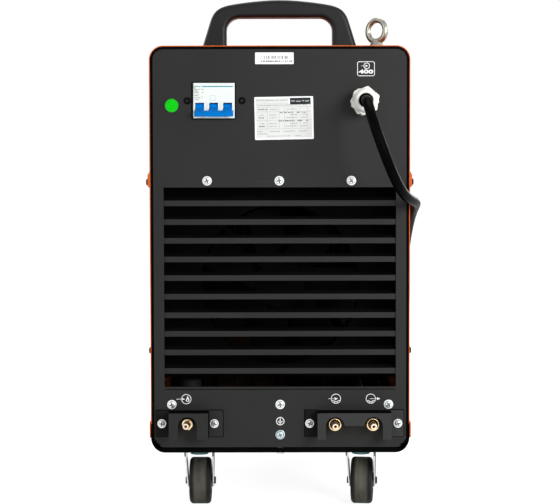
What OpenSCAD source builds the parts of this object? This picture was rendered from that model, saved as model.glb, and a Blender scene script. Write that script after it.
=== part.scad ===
// Plasma cutter unit: a wheeled, water-cooled inverter power source, standing on four swivel casters.
// Rear face towards -Y, front (control) face towards +Y, +X to the right seen from behind.
// The origin is on the floor, under the middle of the unit.

/* [Case] */
// Width over the painted cover
case_w = 336; // [320:1:404]
// Height of the case above its floor pan
case_h = 525; // [500:1:640]
// Depth from the rear panel's face to the front panel's face
case_d = 590; // [490:1:720]
// Outer radius of the case's corners
corner_r = 18; // [14:0.5:22]
// Sheet thickness of the painted cover
cover_t = 1.5; // [1:0.1:2]
// Sheet thickness of the rear and front panels
panel_t = 2; // [1.5:0.1:3]
// Sheet thickness of the floor pan
pan_t = 2; // [1.5:0.1:3]
// Height of the pan's upturned sides above the corner bend
pan_side_h = 18; // [12:1:24]
// How far the cover's stiffening swage stands out
swage_out = 2.6; // [1.5:0.1:4]

/* [Louvre] */
// Width of the rear air opening
louvre_w = 300; // [220:1:300]
// Height of the rear air opening
louvre_h = 258.5; // [240:0.5:300]
// Height of the opening's lower edge above the case's bottom
louvre_z = 84.5; // [80:0.5:110]
// Number of louvre blades
blade_count = 10; // [6:1:12]
// Visible height of each blade
blade_rise = 7.2; // [5:0.1:10]
// Depth of each blade
blade_depth = 13; // [8:0.5:16]
// Thickness of each blade
blade_t = 1.6; // [1:0.1:2.5]

/* [Handle and lifting eyes] */
// Length of the carry handle over its feet
handle_w = 206; // [180:1:220]
// Height of the carry handle above the cover
handle_h = 65; // [55:1:78]
// Thickness of the handle, front to back
handle_t = 30; // [22:1:36]
// Length of the hand opening
grip_w = 141; // [110:1:144]
// Height of the hand opening
grip_h = 42; // [35:1:46]
// Outside diameter of each lifting eye's ring
eye_d = 36; // [30:1:44]
// Diameter of the bar that forms the ring
eye_bar_d = 8; // [6:0.5:10]

/* [Breaker] */
// Width of one breaker pole
pole_w = 18; // [17:0.1:20]
// Number of breaker poles
pole_count = 3; // [3:1:3]
// Height of the breaker's nose
nose_h = 45; // [40:0.5:50]
// How far the nose stands out of the panel
nose_out = 4; // [2:0.5:8]
// Radius from the toggle's pivot to the end of its levers
lever_r = 23; // [20:0.5:26]
// Angle of the levers either side of level
throw = 26; // [20:1:30]

/* [Cable gland and supply cord] */
// Diameter of the supply cord
cord_d = 13; // [11:0.1:13]
// Width of the gland's cap across its flats
gland_af = 33; // [30:0.5:38]
// How far the gland's cap stands out of the panel
gland_out = 38; // [32:1:44]
// Radius of the cord's coil at the outer turn
coil_r = 81; // [76:0.5:90]
// Number of turns in each layer of the coil
coil_turns = 2; // [2:1:2]

/* [Guards and hose fittings] */
// Height of the hose guards
guard_h = 34; // [28:1:40]
// How far the guards stand out of the panel
guard_out = 28; // [20:1:34]
// Sheet thickness of the guards
guard_t = 2; // [1.5:0.1:2.5]
// Diameter of the air hose tail
air_tail_d = 9.5; // [8:0.5:10]
// Diameter of the water hose tails
water_tail_d = 8; // [6:0.5:9]

/* [Casters] */
// Wheel diameter
wheel_d = 63; // [50:1:78]
// Height of the caster's mounting face above the top of its wheel
caster_rise = 25; // [24:1:40]
// Width of the tyre
tyre_w = 28; // [22:1:28]
// Width of the hub
hub_w = 31; // [30:1:38]
// Offset from the swivel's axis to the axle
trail = 28; // [22:1:30]
// Axle diameter
axle_d = 8; // [6:0.5:8]
// Sideways distance from the middle to each swivel
caster_x = 108.5; // [90:0.5:108.5]
// Distance from the case's ends to each swivel
caster_in = 70; // [60:1:100]

/* [Fan] */
// Diameter of the fan's blade circle
fan_d = 206; // [170:1:210]
// Number of fan blades
fan_blades = 7; // [5:1:9]

/* [Front connections] */
// Bore of the work-lead socket
socket_bore = 13; // [11:0.1:13.5]
// How far the torch connector stands out of the front panel
torch_out = 38; // [32:1:44]
// Bore of the torch connector's gas post
torch_bore = 10; // [8:0.5:12]
// Diameter of the current knob
knob_d = 36; // [30:1:44]

/* [Hidden] */
$fn = 48;

// small clearances
eps = 0.01;
fit = 0.3;            // between pieces that don't touch
running = 0.05;       // radial clearance of a running fit
hole_fit = 0.1;       // radial clearance of a screw's or a thread's hole
panel_gap = 0.9;      // between the cover and the panels' edges

// levels and planes of the case
caster_h = wheel_d + caster_rise;
case_z0 = caster_h;
case_z1 = caster_h + case_h;
half_w = case_w / 2;
rear_y = -(case_d + torch_out - gland_out) / 2;
front_y = rear_y + case_d;
inner_half = half_w - cover_t;
panel_half = inner_half - panel_gap;
panel_z0 = case_z0 + pan_t + 3.6;
panel_z1 = case_z1 - cover_t - panel_gap;
panel_corner = corner_r - cover_t - panel_gap;
flange_d = 20;        // depth of the panels' folded edges
cover_inset = 0.5;    // the cover's ends behind the panels' faces

// the floor pan
pan_half = half_w - 0.1;
pan_side_top = case_z0 + corner_r + pan_side_h;
pan_inner_r = corner_r - pan_t;
rib_in = 64;          // the pan's stiffening ribs, in from its ends

// the cover's swage and joggle
swage_z0 = case_z1 - 183;
swage_z1 = case_z1 - 161;
swage_slope = 5;
joggle_z1 = pan_side_top + fit;

// the rear panel's features
nose_w = pole_w * pole_count;
breaker_x = -84.8;
breaker_z = case_z1 - 70.6;
nose_gap = 1.3;
breaker_screw_x = nose_w / 2 + 8.2;
breaker_screw_r = 2;
gland_x = 109;
gland_z = case_z1 - 72;
gland_thread_r = 14;
entry_r = 9;
upper_row_z = case_z0 + louvre_z + louvre_h + 8.5;
lower_row_z = case_z0 + louvre_z - 23;
upper_row_x = [-94, 0, 92];
lower_row_x = [-140, 0, 140];
guard_z0 = case_z0 + 20;
guard_screw_z = case_z0 + 37;
notch_r = 12;
air_x = -119;
water_in_x = 70.5;
water_out_x = 119.5;
fitting_z = case_z0 + 38;
air_screws_x = [-153.5, -85.5];
water_screws_x = [38.2, 152.6];
earth_z = case_z0 + 22;
earth_r = 3;
screw_head_r = 6;
shank_r = 2.4;
pan_bolt_u = 11;      // the bolt under the pan, in from the rear face
side_screw_u = 12;
side_screw_low = case_z1 - 394;
side_screw_high = case_z1 - 175;
eye_u = 60;
eye_x = half_w - 39.5;
eye_shank_r = 4;
eye_yaw = -40;
handle_u = 72;
handle_bolt_r = 2.5;

// the louvre insert behind the panel
insert_t = 1.5;
insert_half = louvre_w / 2 + 8;
insert_z0 = lower_row_z - 7.5;
insert_z1 = upper_row_z + 8;

// casters
plate_x = 66;
plate_y = 58;
plate_t = 2.5;
fork_top = caster_h - plate_t - 5.2;
plate_bolt_in = 9;    // the plate's bolts, in from its edges
plate_bolt_r = 3;
kingpin_r = 5;
kingpin_seat = 4.6;   // depth of the fork's bearing above the king pin's head
axle_r = axle_d / 2;
wheel_r = wheel_d / 2;
boss_r = 9;           // the rounded foot of each leg, round the axle
fork_t = 2;
leg_room = 2.2;       // between the hub and a leg, at the fork's top
fork_out = hub_w / 2 + fork_t + leg_room;
// each leg leans in until its foot has just the clearance left beside the hub
fork_lean = atan((leg_room - fit - 0.1) / (fork_top - wheel_r + boss_r));
hub_r = 11.7;
rim_r = 20;
// side, end and rest angle of each caster: x side, y side, yaw
CASTERS = [["rear_left", -1, -1, 0], ["rear_right", 1, -1, -6],
    ["front_left", -1, 1, 8], ["front_right", 1, 1, -12]];

// front panel's layout
socket_z = case_z0 + 105;
work_x = 88;
work_body_r = 17;
torch_x = -106;
torch_body_r = 20;
post_out = 20;        // the torch post's step, out from the panel
pilot_x = 0;
pilot_body_r = 12;
fascia_half = 138;
fascia_z0 = case_z1 - 196;
fascia_z1 = case_z1 - 34;
fascia_out = 7;
fascia_face = front_y + fascia_out;
window_x = -52;
window_z = case_z1 - 84;
window_w = 92;
window_h = 40;
knob_x = 78;
knob_z = case_z1 - 130;
switch_x = [-88, -24];
switch_z = case_z1 - 152;
rocker_w = 19;
rocker_h = 27;
rocker_back = 9;      // the rocker's pivot behind the fascia's face
rocker_tip = 9;       // tilt at each end of its travel
lamp_x = [38, 58, 78, 98];
lamp_z = case_z1 - 62;

// inside
shelf_z = case_z0 + 250;
shelf_half = 148;
shelf_u0 = 170;
shelf_u1 = case_d - 110;
sink_h = 50;
sink_w = 230;
sink_d = 200;
sink_u = shelf_u0 + 20;
module_h = 22;
board_z = shelf_z + sink_h + module_h;
core_u = 230;
fan_z = case_z0 + louvre_z + louvre_h / 2;
duct_u0 = 62;
duct_u1 = 104;
motor_r = 34;
stub_r = 5;           // hose stubs inside the case
valve_u = 38;
valve_d = 32;
drop_in = 24;         // the gas drop pipe behind the front face
drop_r = 6.5;
choke_h = 26;

// the cord: straight out of the gland, round the case's rear right edge, down along its
// right side and over the floor to the coil in front of the unit
cord_r = cord_d / 2;
lay_z = 7.6;
CORD_POINTS = [[109, -325, 541], [109, -350, 541], [109, -385, 532], [116, -409, 504],
    [130, -411, 465], [146, -387, 431], [161, -345, 416], [177, -300, 412], [176, -258, 404],
    [175, -215, 389], [175, -170, 369], [175, -125, 343], [175, -85, 313], [175, -45, 277],
    [175, -5, 236], [176, 35, 191], [177, 75, 146], [179, 115, 104], [181, 155, 67],
    [183, 195, 38], [184, 240, 18], [184, 290, 8], [184, 345, 7.6], [184, 400, 7.6]];
cord_end_point = CORD_POINTS[len(CORD_POINTS) - 1];
coil_pitch = cord_d + 0.6;
coil_c = [cord_end_point.x - coil_r, cord_end_point.y + cord_d];
coil_steps = 24;
climb_deg = 180;
half_deg = 360 * coil_turns;
coil_total = 2 * half_deg + climb_deg;

// one place on the coil's centreline, at an angle along its turns
function coil_radius(a) = coil_r - coil_pitch * min(a, coil_total - a) / 360;
function climb_share(a) = min(1, max(0, (a - half_deg) / climb_deg));
function coil_height(a) = lay_z + coil_pitch * (1 - cos(180 * climb_share(a))) / 2;
function coil_point(a) = [coil_c.x + coil_radius(a) * cos(a), coil_c.y + coil_radius(a) * sin(a),
    coil_height(a)];
COIL_POINTS = concat(
    [cord_end_point],
    [for (i = [0 : coil_steps * coil_total / 360]) coil_point(i * 360 / coil_steps)],
    [coil_point(coil_total) + [0, -cord_d, 0]]);

// a smooth run through hand-set points: a uniform cubic B-spline that starts and ends on them
function spline_at(a, b, c, d, t) = (pow(1 - t, 3) * a + (3 * pow(t, 3) - 6 * t * t + 4) * b
    + (-3 * pow(t, 3) + 3 * t * t + 3 * t + 1) * c + pow(t, 3) * d) / 6;
function spline(p, n) = let (last = len(p) - 1) concat(
    [for (i = [0 : last - 1]) let (
        before = i > 0 ? p[i - 1] : 2 * p[i] - p[i + 1],
        after = i + 2 <= last ? p[i + 2] : 2 * p[i + 1] - p[i])
        for (k = [0 : n - 1]) spline_at(before, p[i], p[i + 1], after, k / n)],
    [p[last]]);
cord_steps = 2;
CORD_LINE = spline(CORD_POINTS, cord_steps);

// sums and gaps that are printed when the file is run
function run_length(p) = len(p) < 2 ? 0
    : [for (i = 0, s = 0; i < len(p); i = i + 1, s = s + (i < len(p) ? norm(p[i] - p[i - 1]) : 0)) s]
      [len(p) - 1];
function lap_gap(p, near) = min([for (i = [0 : len(p) - 1 - near]) for (j = [i + near : len(p) - 1])
    norm(p[i] - p[j])]) - cord_d;

function unit(v) = v / norm(v);
// one direction along a line of points, at one of them
function heading(p, i) = unit(p[min(i + 1, len(p) - 1)] - p[max(i - 1, 0)]);

// a tube along a line of points; guide is a direction that the line never follows
module tube(p, r, sides, guide) {
    rings = len(p);
    points = [for (i = [0 : rings - 1]) let (
        h = heading(p, i), side = unit(cross(h, guide)), up = cross(side, h))
        for (k = [0 : sides - 1]) p[i] + r * (cos(360 * k / sides) * up + sin(360 * k / sides) * side)];
    walls = [for (i = [0 : rings - 2]) for (k = [0 : sides - 1]) let (
        a = i * sides + k, b = i * sides + (k + 1) % sides)
        each [[a, a + sides, b + sides], [a, b + sides, b]]];
    caps = [for (k = [1 : sides - 2]) each [[0, k, k + 1],
        [(rings - 1) * sides, (rings - 1) * sides + k + 1, (rings - 1) * sides + k]]];
    polyhedron(points, concat(walls, caps));
}

// ---- shared shapes ----

// a flat shape drawn in X and Z, standing across the unit from u to u + t behind the rear face
module standing(u, t) {
    translate([0, rear_y + u + t, 0]) rotate([90, 0, 0]) linear_extrude(t) children();
}

// a round bar or bore along Y, from u to u + t behind the rear face
module bar_y(x, z, u, t, r) {
    translate([x, rear_y + u, z]) rotate([-90, 0, 0]) cylinder(h = t, r = r);
}

// a block given by its low corner (x, u, z) and its size
module block(x, u, z, w, d, h) {
    translate([x, rear_y + u, z]) cube([w, d, h]);
}

// a rectangle in X and Z with round corners, low ones of radius rb and high ones of radius rt
module round_outline(half, z0, z1, rb, rt) {
    translate([-half, z0 + rb]) square([2 * half, z1 - z0 - rb - rt]);
    translate([-half + rb, z0]) square([2 * (half - rb), rb + 1]);
    translate([-half + rt, z1 - rt - 1]) square([2 * (half - rt), rt + 1]);
    for (s = [-1, 1]) {
        translate([s * (half - rb), z0 + rb]) circle(rb);
        translate([s * (half - rt), z1 - rt]) circle(rt);
    }
}

// a rectangle with round corners, about its own middle
module round_rect(w, h, r) {
    square([w, h - 2 * r], center = true);
    square([w - 2 * r, h], center = true);
    for (x = [-1, 1], y = [-1, 1]) translate([x * (w / 2 - r), y * (h / 2 - r)]) circle(r);
}

// a hexagon nut or head along +Z, across its flats
module hex_bar(af, h) {
    cylinder(h = h, d = af / cos(30), $fn = 6);
}

// a combination screw with its washer, along -Y out of the panel
module combination_screw(x, z, head_r, u = 0) {
    bar_y(x, z, u - 1, 1, head_r);
    translate([x, rear_y + u - 1, z]) rotate([90, 0, 0]) hex_bar(head_r * 1.45, 2.6);
    bar_y(x, z, u - 1, 12, shank_r);
}

// a place on a caster: its swivel's axis, turned to its rest angle
module at_caster(c) {
    y = c[2] < 0 ? rear_y + caster_in : front_y - caster_in;
    translate([c[1] * caster_x, y, 0]) rotate([0, 0, c[3]]) children();
}

// ---- case ----

// the pan's section: a U with round lower corners
module pan_section(half, z0, r) {
    difference() {
        round_outline(half, z0, pan_side_top + 2 * r, r, r);
        translate([-half - 1, pan_side_top]) square([2 * half + 2, 4 * r + 2]);
    }
}

module base_pan() color([0.13, 0.13, 0.13]) {
    difference() {
        union() {
            standing(0, case_d) difference() {
                pan_section(pan_half, case_z0, corner_r);
                pan_section(pan_half - pan_t, case_z0 + pan_t, pan_inner_r);
            }
            for (u = [0, case_d - panel_t]) standing(u, panel_t) difference() {
                pan_section(pan_half, case_z0, corner_r);
                translate([-half_w, panel_z0 - fit]) square([case_w, case_h]);
            }
            for (u = [rib_in, case_d - rib_in - 20]) block(-60, u, case_z0 + pan_t - eps, 120, 20, 6);
        }
        for (c = CASTERS) at_caster(c) rotate([0, 0, -c[3]]) for (x = [-1, 1], y = [-1, 1])
            translate([x * (plate_x / 2 - plate_bolt_in), y * (plate_y / 2 - plate_bolt_in), case_z0 - 1])
                cylinder(h = pan_t + 2, r = plate_bolt_r + hole_fit);
        translate([0, rear_y + pan_bolt_u, case_z0 - 1]) cylinder(h = pan_t + 2, r = shank_r + hole_fit);
    }
}

// the cover's section in X and Z down to a level, grown outwards or inwards from its painted face
module cover_section(grow, low) {
    intersection() {
        round_outline(half_w + grow, case_z0 - 4 * corner_r, case_z1 + grow, corner_r, corner_r + grow);
        translate([-case_w, low]) square([2 * case_w, case_h + 10]);
    }
}

module outer_cover() color([0.86, 0.32, 0.13]) {
    len_y = case_d - 2 * cover_inset;
    swage_len = case_d - 110;
    difference() {
        union() {
            standing(cover_inset, len_y) difference() {
                cover_section(0, joggle_z1);
                cover_section(-cover_t, joggle_z1 - 1);
            }
            // the lower edges step out over the pan's sides
            for (s = [-1, 1]) standing(cover_inset, len_y) union() {
                translate([s > 0 ? pan_half + 0.3 : -pan_half - 0.3 - cover_t, case_z0 + corner_r])
                    square([cover_t, joggle_z1 + 1 - case_z0 - corner_r]);
                translate([s > 0 ? inner_half : -pan_half - 0.3 - cover_t, joggle_z1])
                    square([pan_half + 0.3 + cover_t - inner_half, 2]);
            }
            // a swage along each side
            for (s = [-1, 1]) standing(cover_inset, swage_len) polygon([
                [s * (half_w - 0.4), swage_z0], [s * (half_w + swage_out), swage_z0 + swage_slope / 2],
                [s * (half_w + swage_out), swage_z1 - swage_slope], [s * (half_w - 0.4), swage_z1]]);
        }
        // screws on the sides, lifting eyes and handle on the top
        for (s = [-1, 1], z = [side_screw_low, side_screw_high], u = [side_screw_u, case_d - side_screw_u])
            translate([s * (half_w - 6), rear_y + u, z]) rotate([0, 90, 0])
                cylinder(h = 30, r = shank_r + hole_fit, center = true);
        for (p = [[eye_x, eye_u], [-eye_x, case_d - eye_u]])
            translate([p.x, rear_y + p.y, case_z1 - 10]) cylinder(h = 20, r = eye_shank_r + hole_fit);
        for (x = [-1, 1]) translate([x * handle_foot_x(), rear_y + handle_u, case_z1 - 10])
            cylinder(h = 20, r = handle_bolt_r + hole_fit);
        // side ventilation slots, low and towards the front
        for (s = [-1, 1], k = [0 : 7], row = [0, 1])
            translate([s * half_w, front_y - 130 - 60 * row, case_z0 + 90 + 14 * k])
                cube([10, 44, 5], center = true);
    }
}

// a panel: a face with folded edges, inside the cover and above the pan's lip
module tray(u_face, dir) {
    u_flange = dir > 0 ? u_face : u_face + panel_t - flange_d;
    standing(u_face, panel_t)
        round_outline(panel_half, panel_z0, panel_z1, pan_inner_r, panel_corner);
    standing(u_flange, flange_d) difference() {
        round_outline(panel_half, panel_z0, panel_z1, pan_inner_r, panel_corner);
        round_outline(panel_half - panel_t, panel_z0 + panel_t, panel_z1 - panel_t,
            pan_inner_r - panel_t, panel_corner - panel_t);
    }
}

module side_screw_holes(u) {
    for (s = [-1, 1], z = [side_screw_low, side_screw_high])
        translate([s * panel_half, rear_y + u, z]) rotate([0, 90, 0])
            cylinder(h = 12, r = shank_r + hole_fit, center = true);
}

module rear_panel() color([0.19, 0.19, 0.19]) {
    difference() {
        tray(0, 1);
        block(-louvre_w / 2, -1, case_z0 + louvre_z, louvre_w, panel_t + 2, louvre_h);
        block(breaker_x - nose_w / 2 - nose_gap, -1, breaker_z - nose_h / 2 - nose_gap,
            nose_w + 2 * nose_gap, panel_t + 2, nose_h + 2 * nose_gap);
        bar_y(gland_x, gland_z, -1, panel_t + 2, gland_thread_r + hole_fit);
        for (x = upper_row_x) bar_y(x, upper_row_z, -1, panel_t + 2, shank_r + hole_fit);
        for (x = lower_row_x) bar_y(x, lower_row_z, -1, panel_t + 2, shank_r + hole_fit);
        for (x = concat(air_screws_x, water_screws_x))
            bar_y(x, guard_screw_z, -1, panel_t + 2, shank_r + hole_fit);
        bar_y(0, earth_z, -1, panel_t + 2, earth_r + hole_fit);
        for (x = [air_x, water_in_x, water_out_x]) bar_y(x, fitting_z, -1, panel_t + 2, stub_r + hole_fit);
        for (s = [-1, 1])
            bar_y(breaker_x + s * breaker_screw_x, breaker_z, -1, panel_t + 2, breaker_screw_r + hole_fit);
        side_screw_holes(side_screw_u);
        translate([0, rear_y + pan_bolt_u, panel_z0 - 1]) cylinder(h = panel_t + 2, r = shank_r + hole_fit);
    }
}

module rear_louvre() color([0.2, 0.2, 0.2]) {
    blade_gap = (louvre_h - blade_count * blade_rise) / (blade_count + 1);
    difference() {
        standing(panel_t, insert_t) translate([0, (insert_z0 + insert_z1) / 2])
            round_rect(2 * insert_half, insert_z1 - insert_z0, 3);
        block(-louvre_w / 2, 0, case_z0 + louvre_z, louvre_w, 10, louvre_h);
        for (x = upper_row_x) bar_y(x, upper_row_z, 1, 5, shank_r + hole_fit);
        for (x = lower_row_x) bar_y(x, lower_row_z, 1, 5, shank_r + hole_fit);
    }
    // cheeks that the blades' ends are fixed to
    for (s = [-1, 1]) block(s > 0 ? louvre_w / 2 : -louvre_w / 2 - insert_t, panel_t + insert_t - eps,
        case_z0 + louvre_z + 1, insert_t, blade_depth - 1, louvre_h - 2);
    // each blade slopes down towards the outside and ends in a short upright lip
    for (k = [0 : blade_count - 1]) let (z = case_z0 + louvre_z + blade_gap + k * (blade_gap + blade_rise))
        translate([-louvre_w / 2 - eps, rear_y, z]) rotate([90, 0, 90])
            linear_extrude(louvre_w + 2 * eps) polygon([[panel_t, 0], [panel_t + blade_t, 0],
                [panel_t + blade_t, blade_rise - 1.2], [blade_depth, blade_rise + 2.2],
                [blade_depth, blade_rise + 2.2 + blade_t], [panel_t, blade_rise]]);
}

module front_panel() color([0.19, 0.19, 0.19]) {
    face_u = case_d - panel_t;
    difference() {
        tray(face_u, -1);
        block(-fascia_half + 8, face_u - 1, fascia_z0 + 8, 2 * fascia_half - 16, panel_t + 2,
            fascia_z1 - fascia_z0 - 16);
        bar_y(work_x, socket_z, face_u - 1, panel_t + 2, work_body_r + hole_fit);
        bar_y(pilot_x, socket_z, face_u - 1, panel_t + 2, pilot_body_r + hole_fit);
        bar_y(torch_x, socket_z, face_u - 1, panel_t + 2, torch_body_r + hole_fit);
        for (x = [water_in_x, water_out_x]) bar_y(x, fitting_z, face_u - 1, panel_t + 2, stub_r + hole_fit);
        side_screw_holes(case_d - side_screw_u);
    }
}

// ---- top ----

function handle_foot_x() = (handle_w + grip_w) / 4 - 1;

module carry_handle() color([0.16, 0.17, 0.18]) {
    half = handle_w / 2;
    difference() {
        standing(handle_u - handle_t / 2, handle_t) difference() {
            translate([0, case_z1]) polygon([[-half, 0], [half, 0], [half - 10, handle_h - 21],
                [half - 27, handle_h - 7], [half / 2, handle_h - 1.5], [0, handle_h],
                [-half / 2, handle_h - 1.5], [27 - half, handle_h - 7], [10 - half, handle_h - 21]]);
            translate([-grip_w / 2, case_z1 - 1]) square([grip_w, grip_h - 11]);
            translate([-grip_w / 2 + 12, case_z1]) square([grip_w - 24, grip_h]);
            for (s = [-1, 1]) translate([s * (grip_w / 2 - 12), case_z1 + grip_h - 12]) circle(12);
        }
        for (s = [-1, 1]) translate([s * handle_foot_x(), rear_y + handle_u, case_z1 - 1])
            cylinder(h = 19, r = handle_bolt_r + hole_fit);
    }
}

module lifting_eyes() color([0.72, 0.73, 0.72]) {
    ring_r = (eye_d - eye_bar_d) / 2;
    ring_z = case_z1 + 6 + eye_d / 2;
    for (p = [[eye_x, eye_u], [-eye_x, case_d - eye_u]]) translate([p.x, rear_y + p.y, 0]) {
        translate([0, 0, ring_z]) rotate([90, 0, eye_yaw]) rotate_extrude($fn = 64)
            translate([ring_r, 0]) circle(eye_bar_d / 2, $fn = 24);
        translate([0, 0, case_z1]) cylinder(h = 4, r = 10);
        translate([0, 0, case_z1 + 4 - eps]) cylinder(h = 6, r = 5.5);
        // the threaded shank and its nut under the cover
        translate([0, 0, case_z1 - 18]) cylinder(h = 20, r = eye_shank_r);
        difference() {
            translate([0, 0, case_z1 - cover_t - 9]) hex_bar(13, 9 - eps);
            translate([0, 0, case_z1 - cover_t - 10]) cylinder(h = 12, r = eye_shank_r + running);
        }
    }
}

// ---- fasteners and labels ----

module panel_screws() color([0.74, 0.76, 0.74]) {
    for (x = upper_row_x) combination_screw(x, upper_row_z, screw_head_r + 0.5);
    for (x = lower_row_x) combination_screw(x, lower_row_z, screw_head_r + 0.5);
    for (x = concat(air_screws_x, water_screws_x))
        combination_screw(x, guard_screw_z, screw_head_r, -guard_t);
    // the bolt up through the pan and the panel's lower edge, with its spacer and nut
    translate([0, rear_y + pan_bolt_u, 0]) {
        translate([0, 0, case_z0 - 4.6]) hex_bar(8, 4.6);
        translate([0, 0, case_z0 - 1]) cylinder(h = panel_z0 + panel_t + 8 - case_z0, r = shank_r);
        translate([0, 0, case_z0 + pan_t]) cylinder(h = panel_z0 - case_z0 - pan_t, r = 4.5);
        translate([0, 0, panel_z0 + panel_t]) hex_bar(8, 4);
    }
}

module earth_screw() color([0.66, 0.7, 0.74]) {
    bar_y(0, earth_z, -1, 1, 6.5);
    bar_y(0, earth_z, -2, 1 + eps, 5.4);
    translate([0, rear_y - 2, earth_z]) rotate([90, 0, 0]) hex_bar(9, 3);
    bar_y(0, earth_z, -2, 16, earth_r);
}

module cover_screws() color([0.08, 0.08, 0.08]) {
    for (s = [-1, 1], z = [side_screw_low, side_screw_high], u = [side_screw_u, case_d - side_screw_u]) {
        out = z == side_screw_high && u < case_d / 2 ? half_w + swage_out : half_w;
        translate([s * out, rear_y + u, z]) rotate([0, s * 90, 0]) {
            cylinder(h = 2.8, r1 = 4.2, r2 = 3);
            translate([0, 0, -10]) cylinder(h = 10 + eps, r = shank_r);
        }
    }
    for (s = [-1, 1]) {
        bar_y(breaker_x + s * breaker_screw_x, breaker_z, -2.2, 2.2, 4.3);
        bar_y(breaker_x + s * breaker_screw_x, breaker_z, -1, 12, breaker_screw_r);
        translate([s * handle_foot_x(), rear_y + handle_u, case_z1 - cover_t - 4]) {
            cylinder(h = 4, r = 6);
            translate([0, 0, 3]) cylinder(h = 18, r = handle_bolt_r);
        }
    }
}

module rating_plate() color([0.85, 0.86, 0.86])
    translate([4.6, rear_y - 0.6, case_z1 - 93.5]) rotate([90, 0, 0]) rotate([0, 0, 1])
        translate([0, 0, -0.6]) linear_extrude(0.6) round_rect(79, 56, 1.5);

module labels() color([0.93, 0.93, 0.9]) {
    translate([-8, rear_y, case_z1 - 16.4]) rotate([90, 0, 0]) linear_extrude(0.25) round_rect(50.5, 15.7, 1);
    bar_y(-139.5, case_z1 - 77.5, -0.25, 0.25, 8.5);
}

// ---- breaker ----

pivot_back = 8;       // the toggle's pivot behind the nose's face
pivot_z = breaker_z - 9;
lever_w = 10.7;
slot_w = lever_w + 0.7;
drum_r = 7.4;
slot_h = 2 * (drum_r + 0.9);
toggle_pin_r = 2;
shoulder = 17;        // the nose's depth, from its face to the breaker's shoulders
rail_back = 57;       // the breaker's back behind the nose's face
bracket_reach = 13;   // the rail's brackets, out from the nose

module breaker_body() color([0.93, 0.95, 0.92]) {
    face = -nose_out;
    difference() {
        union() {
            block(breaker_x - nose_w / 2, face, breaker_z - nose_h / 2, nose_w, shoulder + 1, nose_h);
            block(breaker_x - nose_w / 2, face + shoulder, breaker_z - 41, nose_w, rail_back - shoulder, 82);
        }
        for (k = [-1, 0, 1]) block(breaker_x + k * pole_w - slot_w / 2, face - 1, pivot_z - slot_h / 2,
            slot_w, pivot_back + drum_r + 1.6, slot_h);
        translate([breaker_x, rear_y + face + pivot_back, pivot_z]) rotate([0, 90, 0])
            cylinder(h = 2 * pole_w + slot_w + 6, r = toggle_pin_r + running, center = true);
    }
    // rail and brackets that carry it on the panel
    difference() {
        union() {
            block(breaker_x - nose_w / 2 - 20, face + rail_back, breaker_z - 17, nose_w + 40, 1.5, 34);
            for (s = [-1, 1]) block(breaker_x + s * (nose_w / 2 + bracket_reach) - 6, panel_t, breaker_z - 8, 12,
                face + rail_back - panel_t + eps, 16);
        }
        for (s = [-1, 1])
            bar_y(breaker_x + s * breaker_screw_x, breaker_z, panel_t - 1, 13, breaker_screw_r + hole_fit);
    }
}

module breaker_toggle() color([0.05, 0.5, 0.86]) {
    tie_w = nose_w - 5;
    translate([breaker_x, rear_y - nose_out + pivot_back, pivot_z]) {
        rotate([0, 90, 0]) cylinder(h = 2 * pole_w + slot_w + 4, r = toggle_pin_r, center = true);
        for (k = [-1, 0, 1]) translate([k * pole_w, 0, 0]) {
            rotate([0, 90, 0]) cylinder(h = lever_w, r = drum_r, center = true);
            rotate([throw, 0, 0]) translate([0.2 - lever_w / 2, -lever_r, -3.2])
                cube([lever_w - 0.4, lever_r, 6.4]);
        }
        rotate([throw, 0, 0]) translate([-tie_w / 2, -lever_r - 2.2, -4]) cube([tie_w, 6.2, 8]);
    }
}

// ---- gland and cord ----

module gland_body() color([0.92, 0.91, 0.86]) {
    difference() {
        union() {
            translate([gland_x, rear_y, gland_z]) rotate([90, 0, 0]) hex_bar(gland_af, 7);
            bar_y(gland_x, gland_z, -18, 18, 13.2);
            bar_y(gland_x, gland_z, -eps, 14, gland_thread_r);
        }
        bar_y(gland_x, gland_z, -30, 60, 8.5);
    }
    // lock nut inside the panel
    difference() {
        translate([gland_x, rear_y + panel_t, gland_z]) rotate([-90, 0, 0]) hex_bar(gland_af, 5);
        bar_y(gland_x, gland_z, -30, 60, gland_thread_r + running);
    }
}

module gland_cap() color([0.95, 0.94, 0.89]) {
    grip_end = gland_out - 11;
    difference() {
        union() {
            translate([gland_x, rear_y - 7 - fit, gland_z]) rotate([90, 0, 0]) rotate([0, 0, 20])
                hex_bar(gland_af, grip_end - 7);
            bar_y(gland_x, gland_z, -grip_end - 4, 6, 15.4);
            translate([gland_x, rear_y - grip_end - 3, gland_z]) rotate([90, 0, 0])
                cylinder(h = gland_out - grip_end - 3, r1 = 15.4, r2 = 11.5);
        }
        bar_y(gland_x, gland_z, -gland_out - 1, 40, entry_r);
        bar_y(gland_x, gland_z, -grip_end + 6, 40, 13.2 + fit);
    }
}

module gland_seal() color([0.07, 0.07, 0.07]) difference() {
    bar_y(gland_x, gland_z, -gland_out + 6, gland_out - 6 - 18.2, entry_r - 0.05);
    bar_y(gland_x, gland_z, -60, 90, cord_r + 0.1);
}

module power_cord() color([0.06, 0.06, 0.06]) tube(CORD_LINE, cord_r, 10, [1, 0, 0]);

module power_cord_coil() color([0.06, 0.06, 0.06]) tube(COIL_POINTS, cord_r, 6, [0, 0, 1]);

module cord_end() color([0.3, 0.25, 0.1]) {
    tip = COIL_POINTS[len(COIL_POINTS) - 1];
    core_off = 2.45;
    for (x = [-1, 1], z = [-1, 1]) translate([tip.x + x * core_off, tip.y, tip.z + z * core_off])
        rotate([90, 0, 0]) {
            cylinder(h = 38 + 4 * x, r = 2.1, $fn = 24);
            cylinder(h = 50 + 4 * x, r = 1.3, $fn = 24);
        }
}

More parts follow.
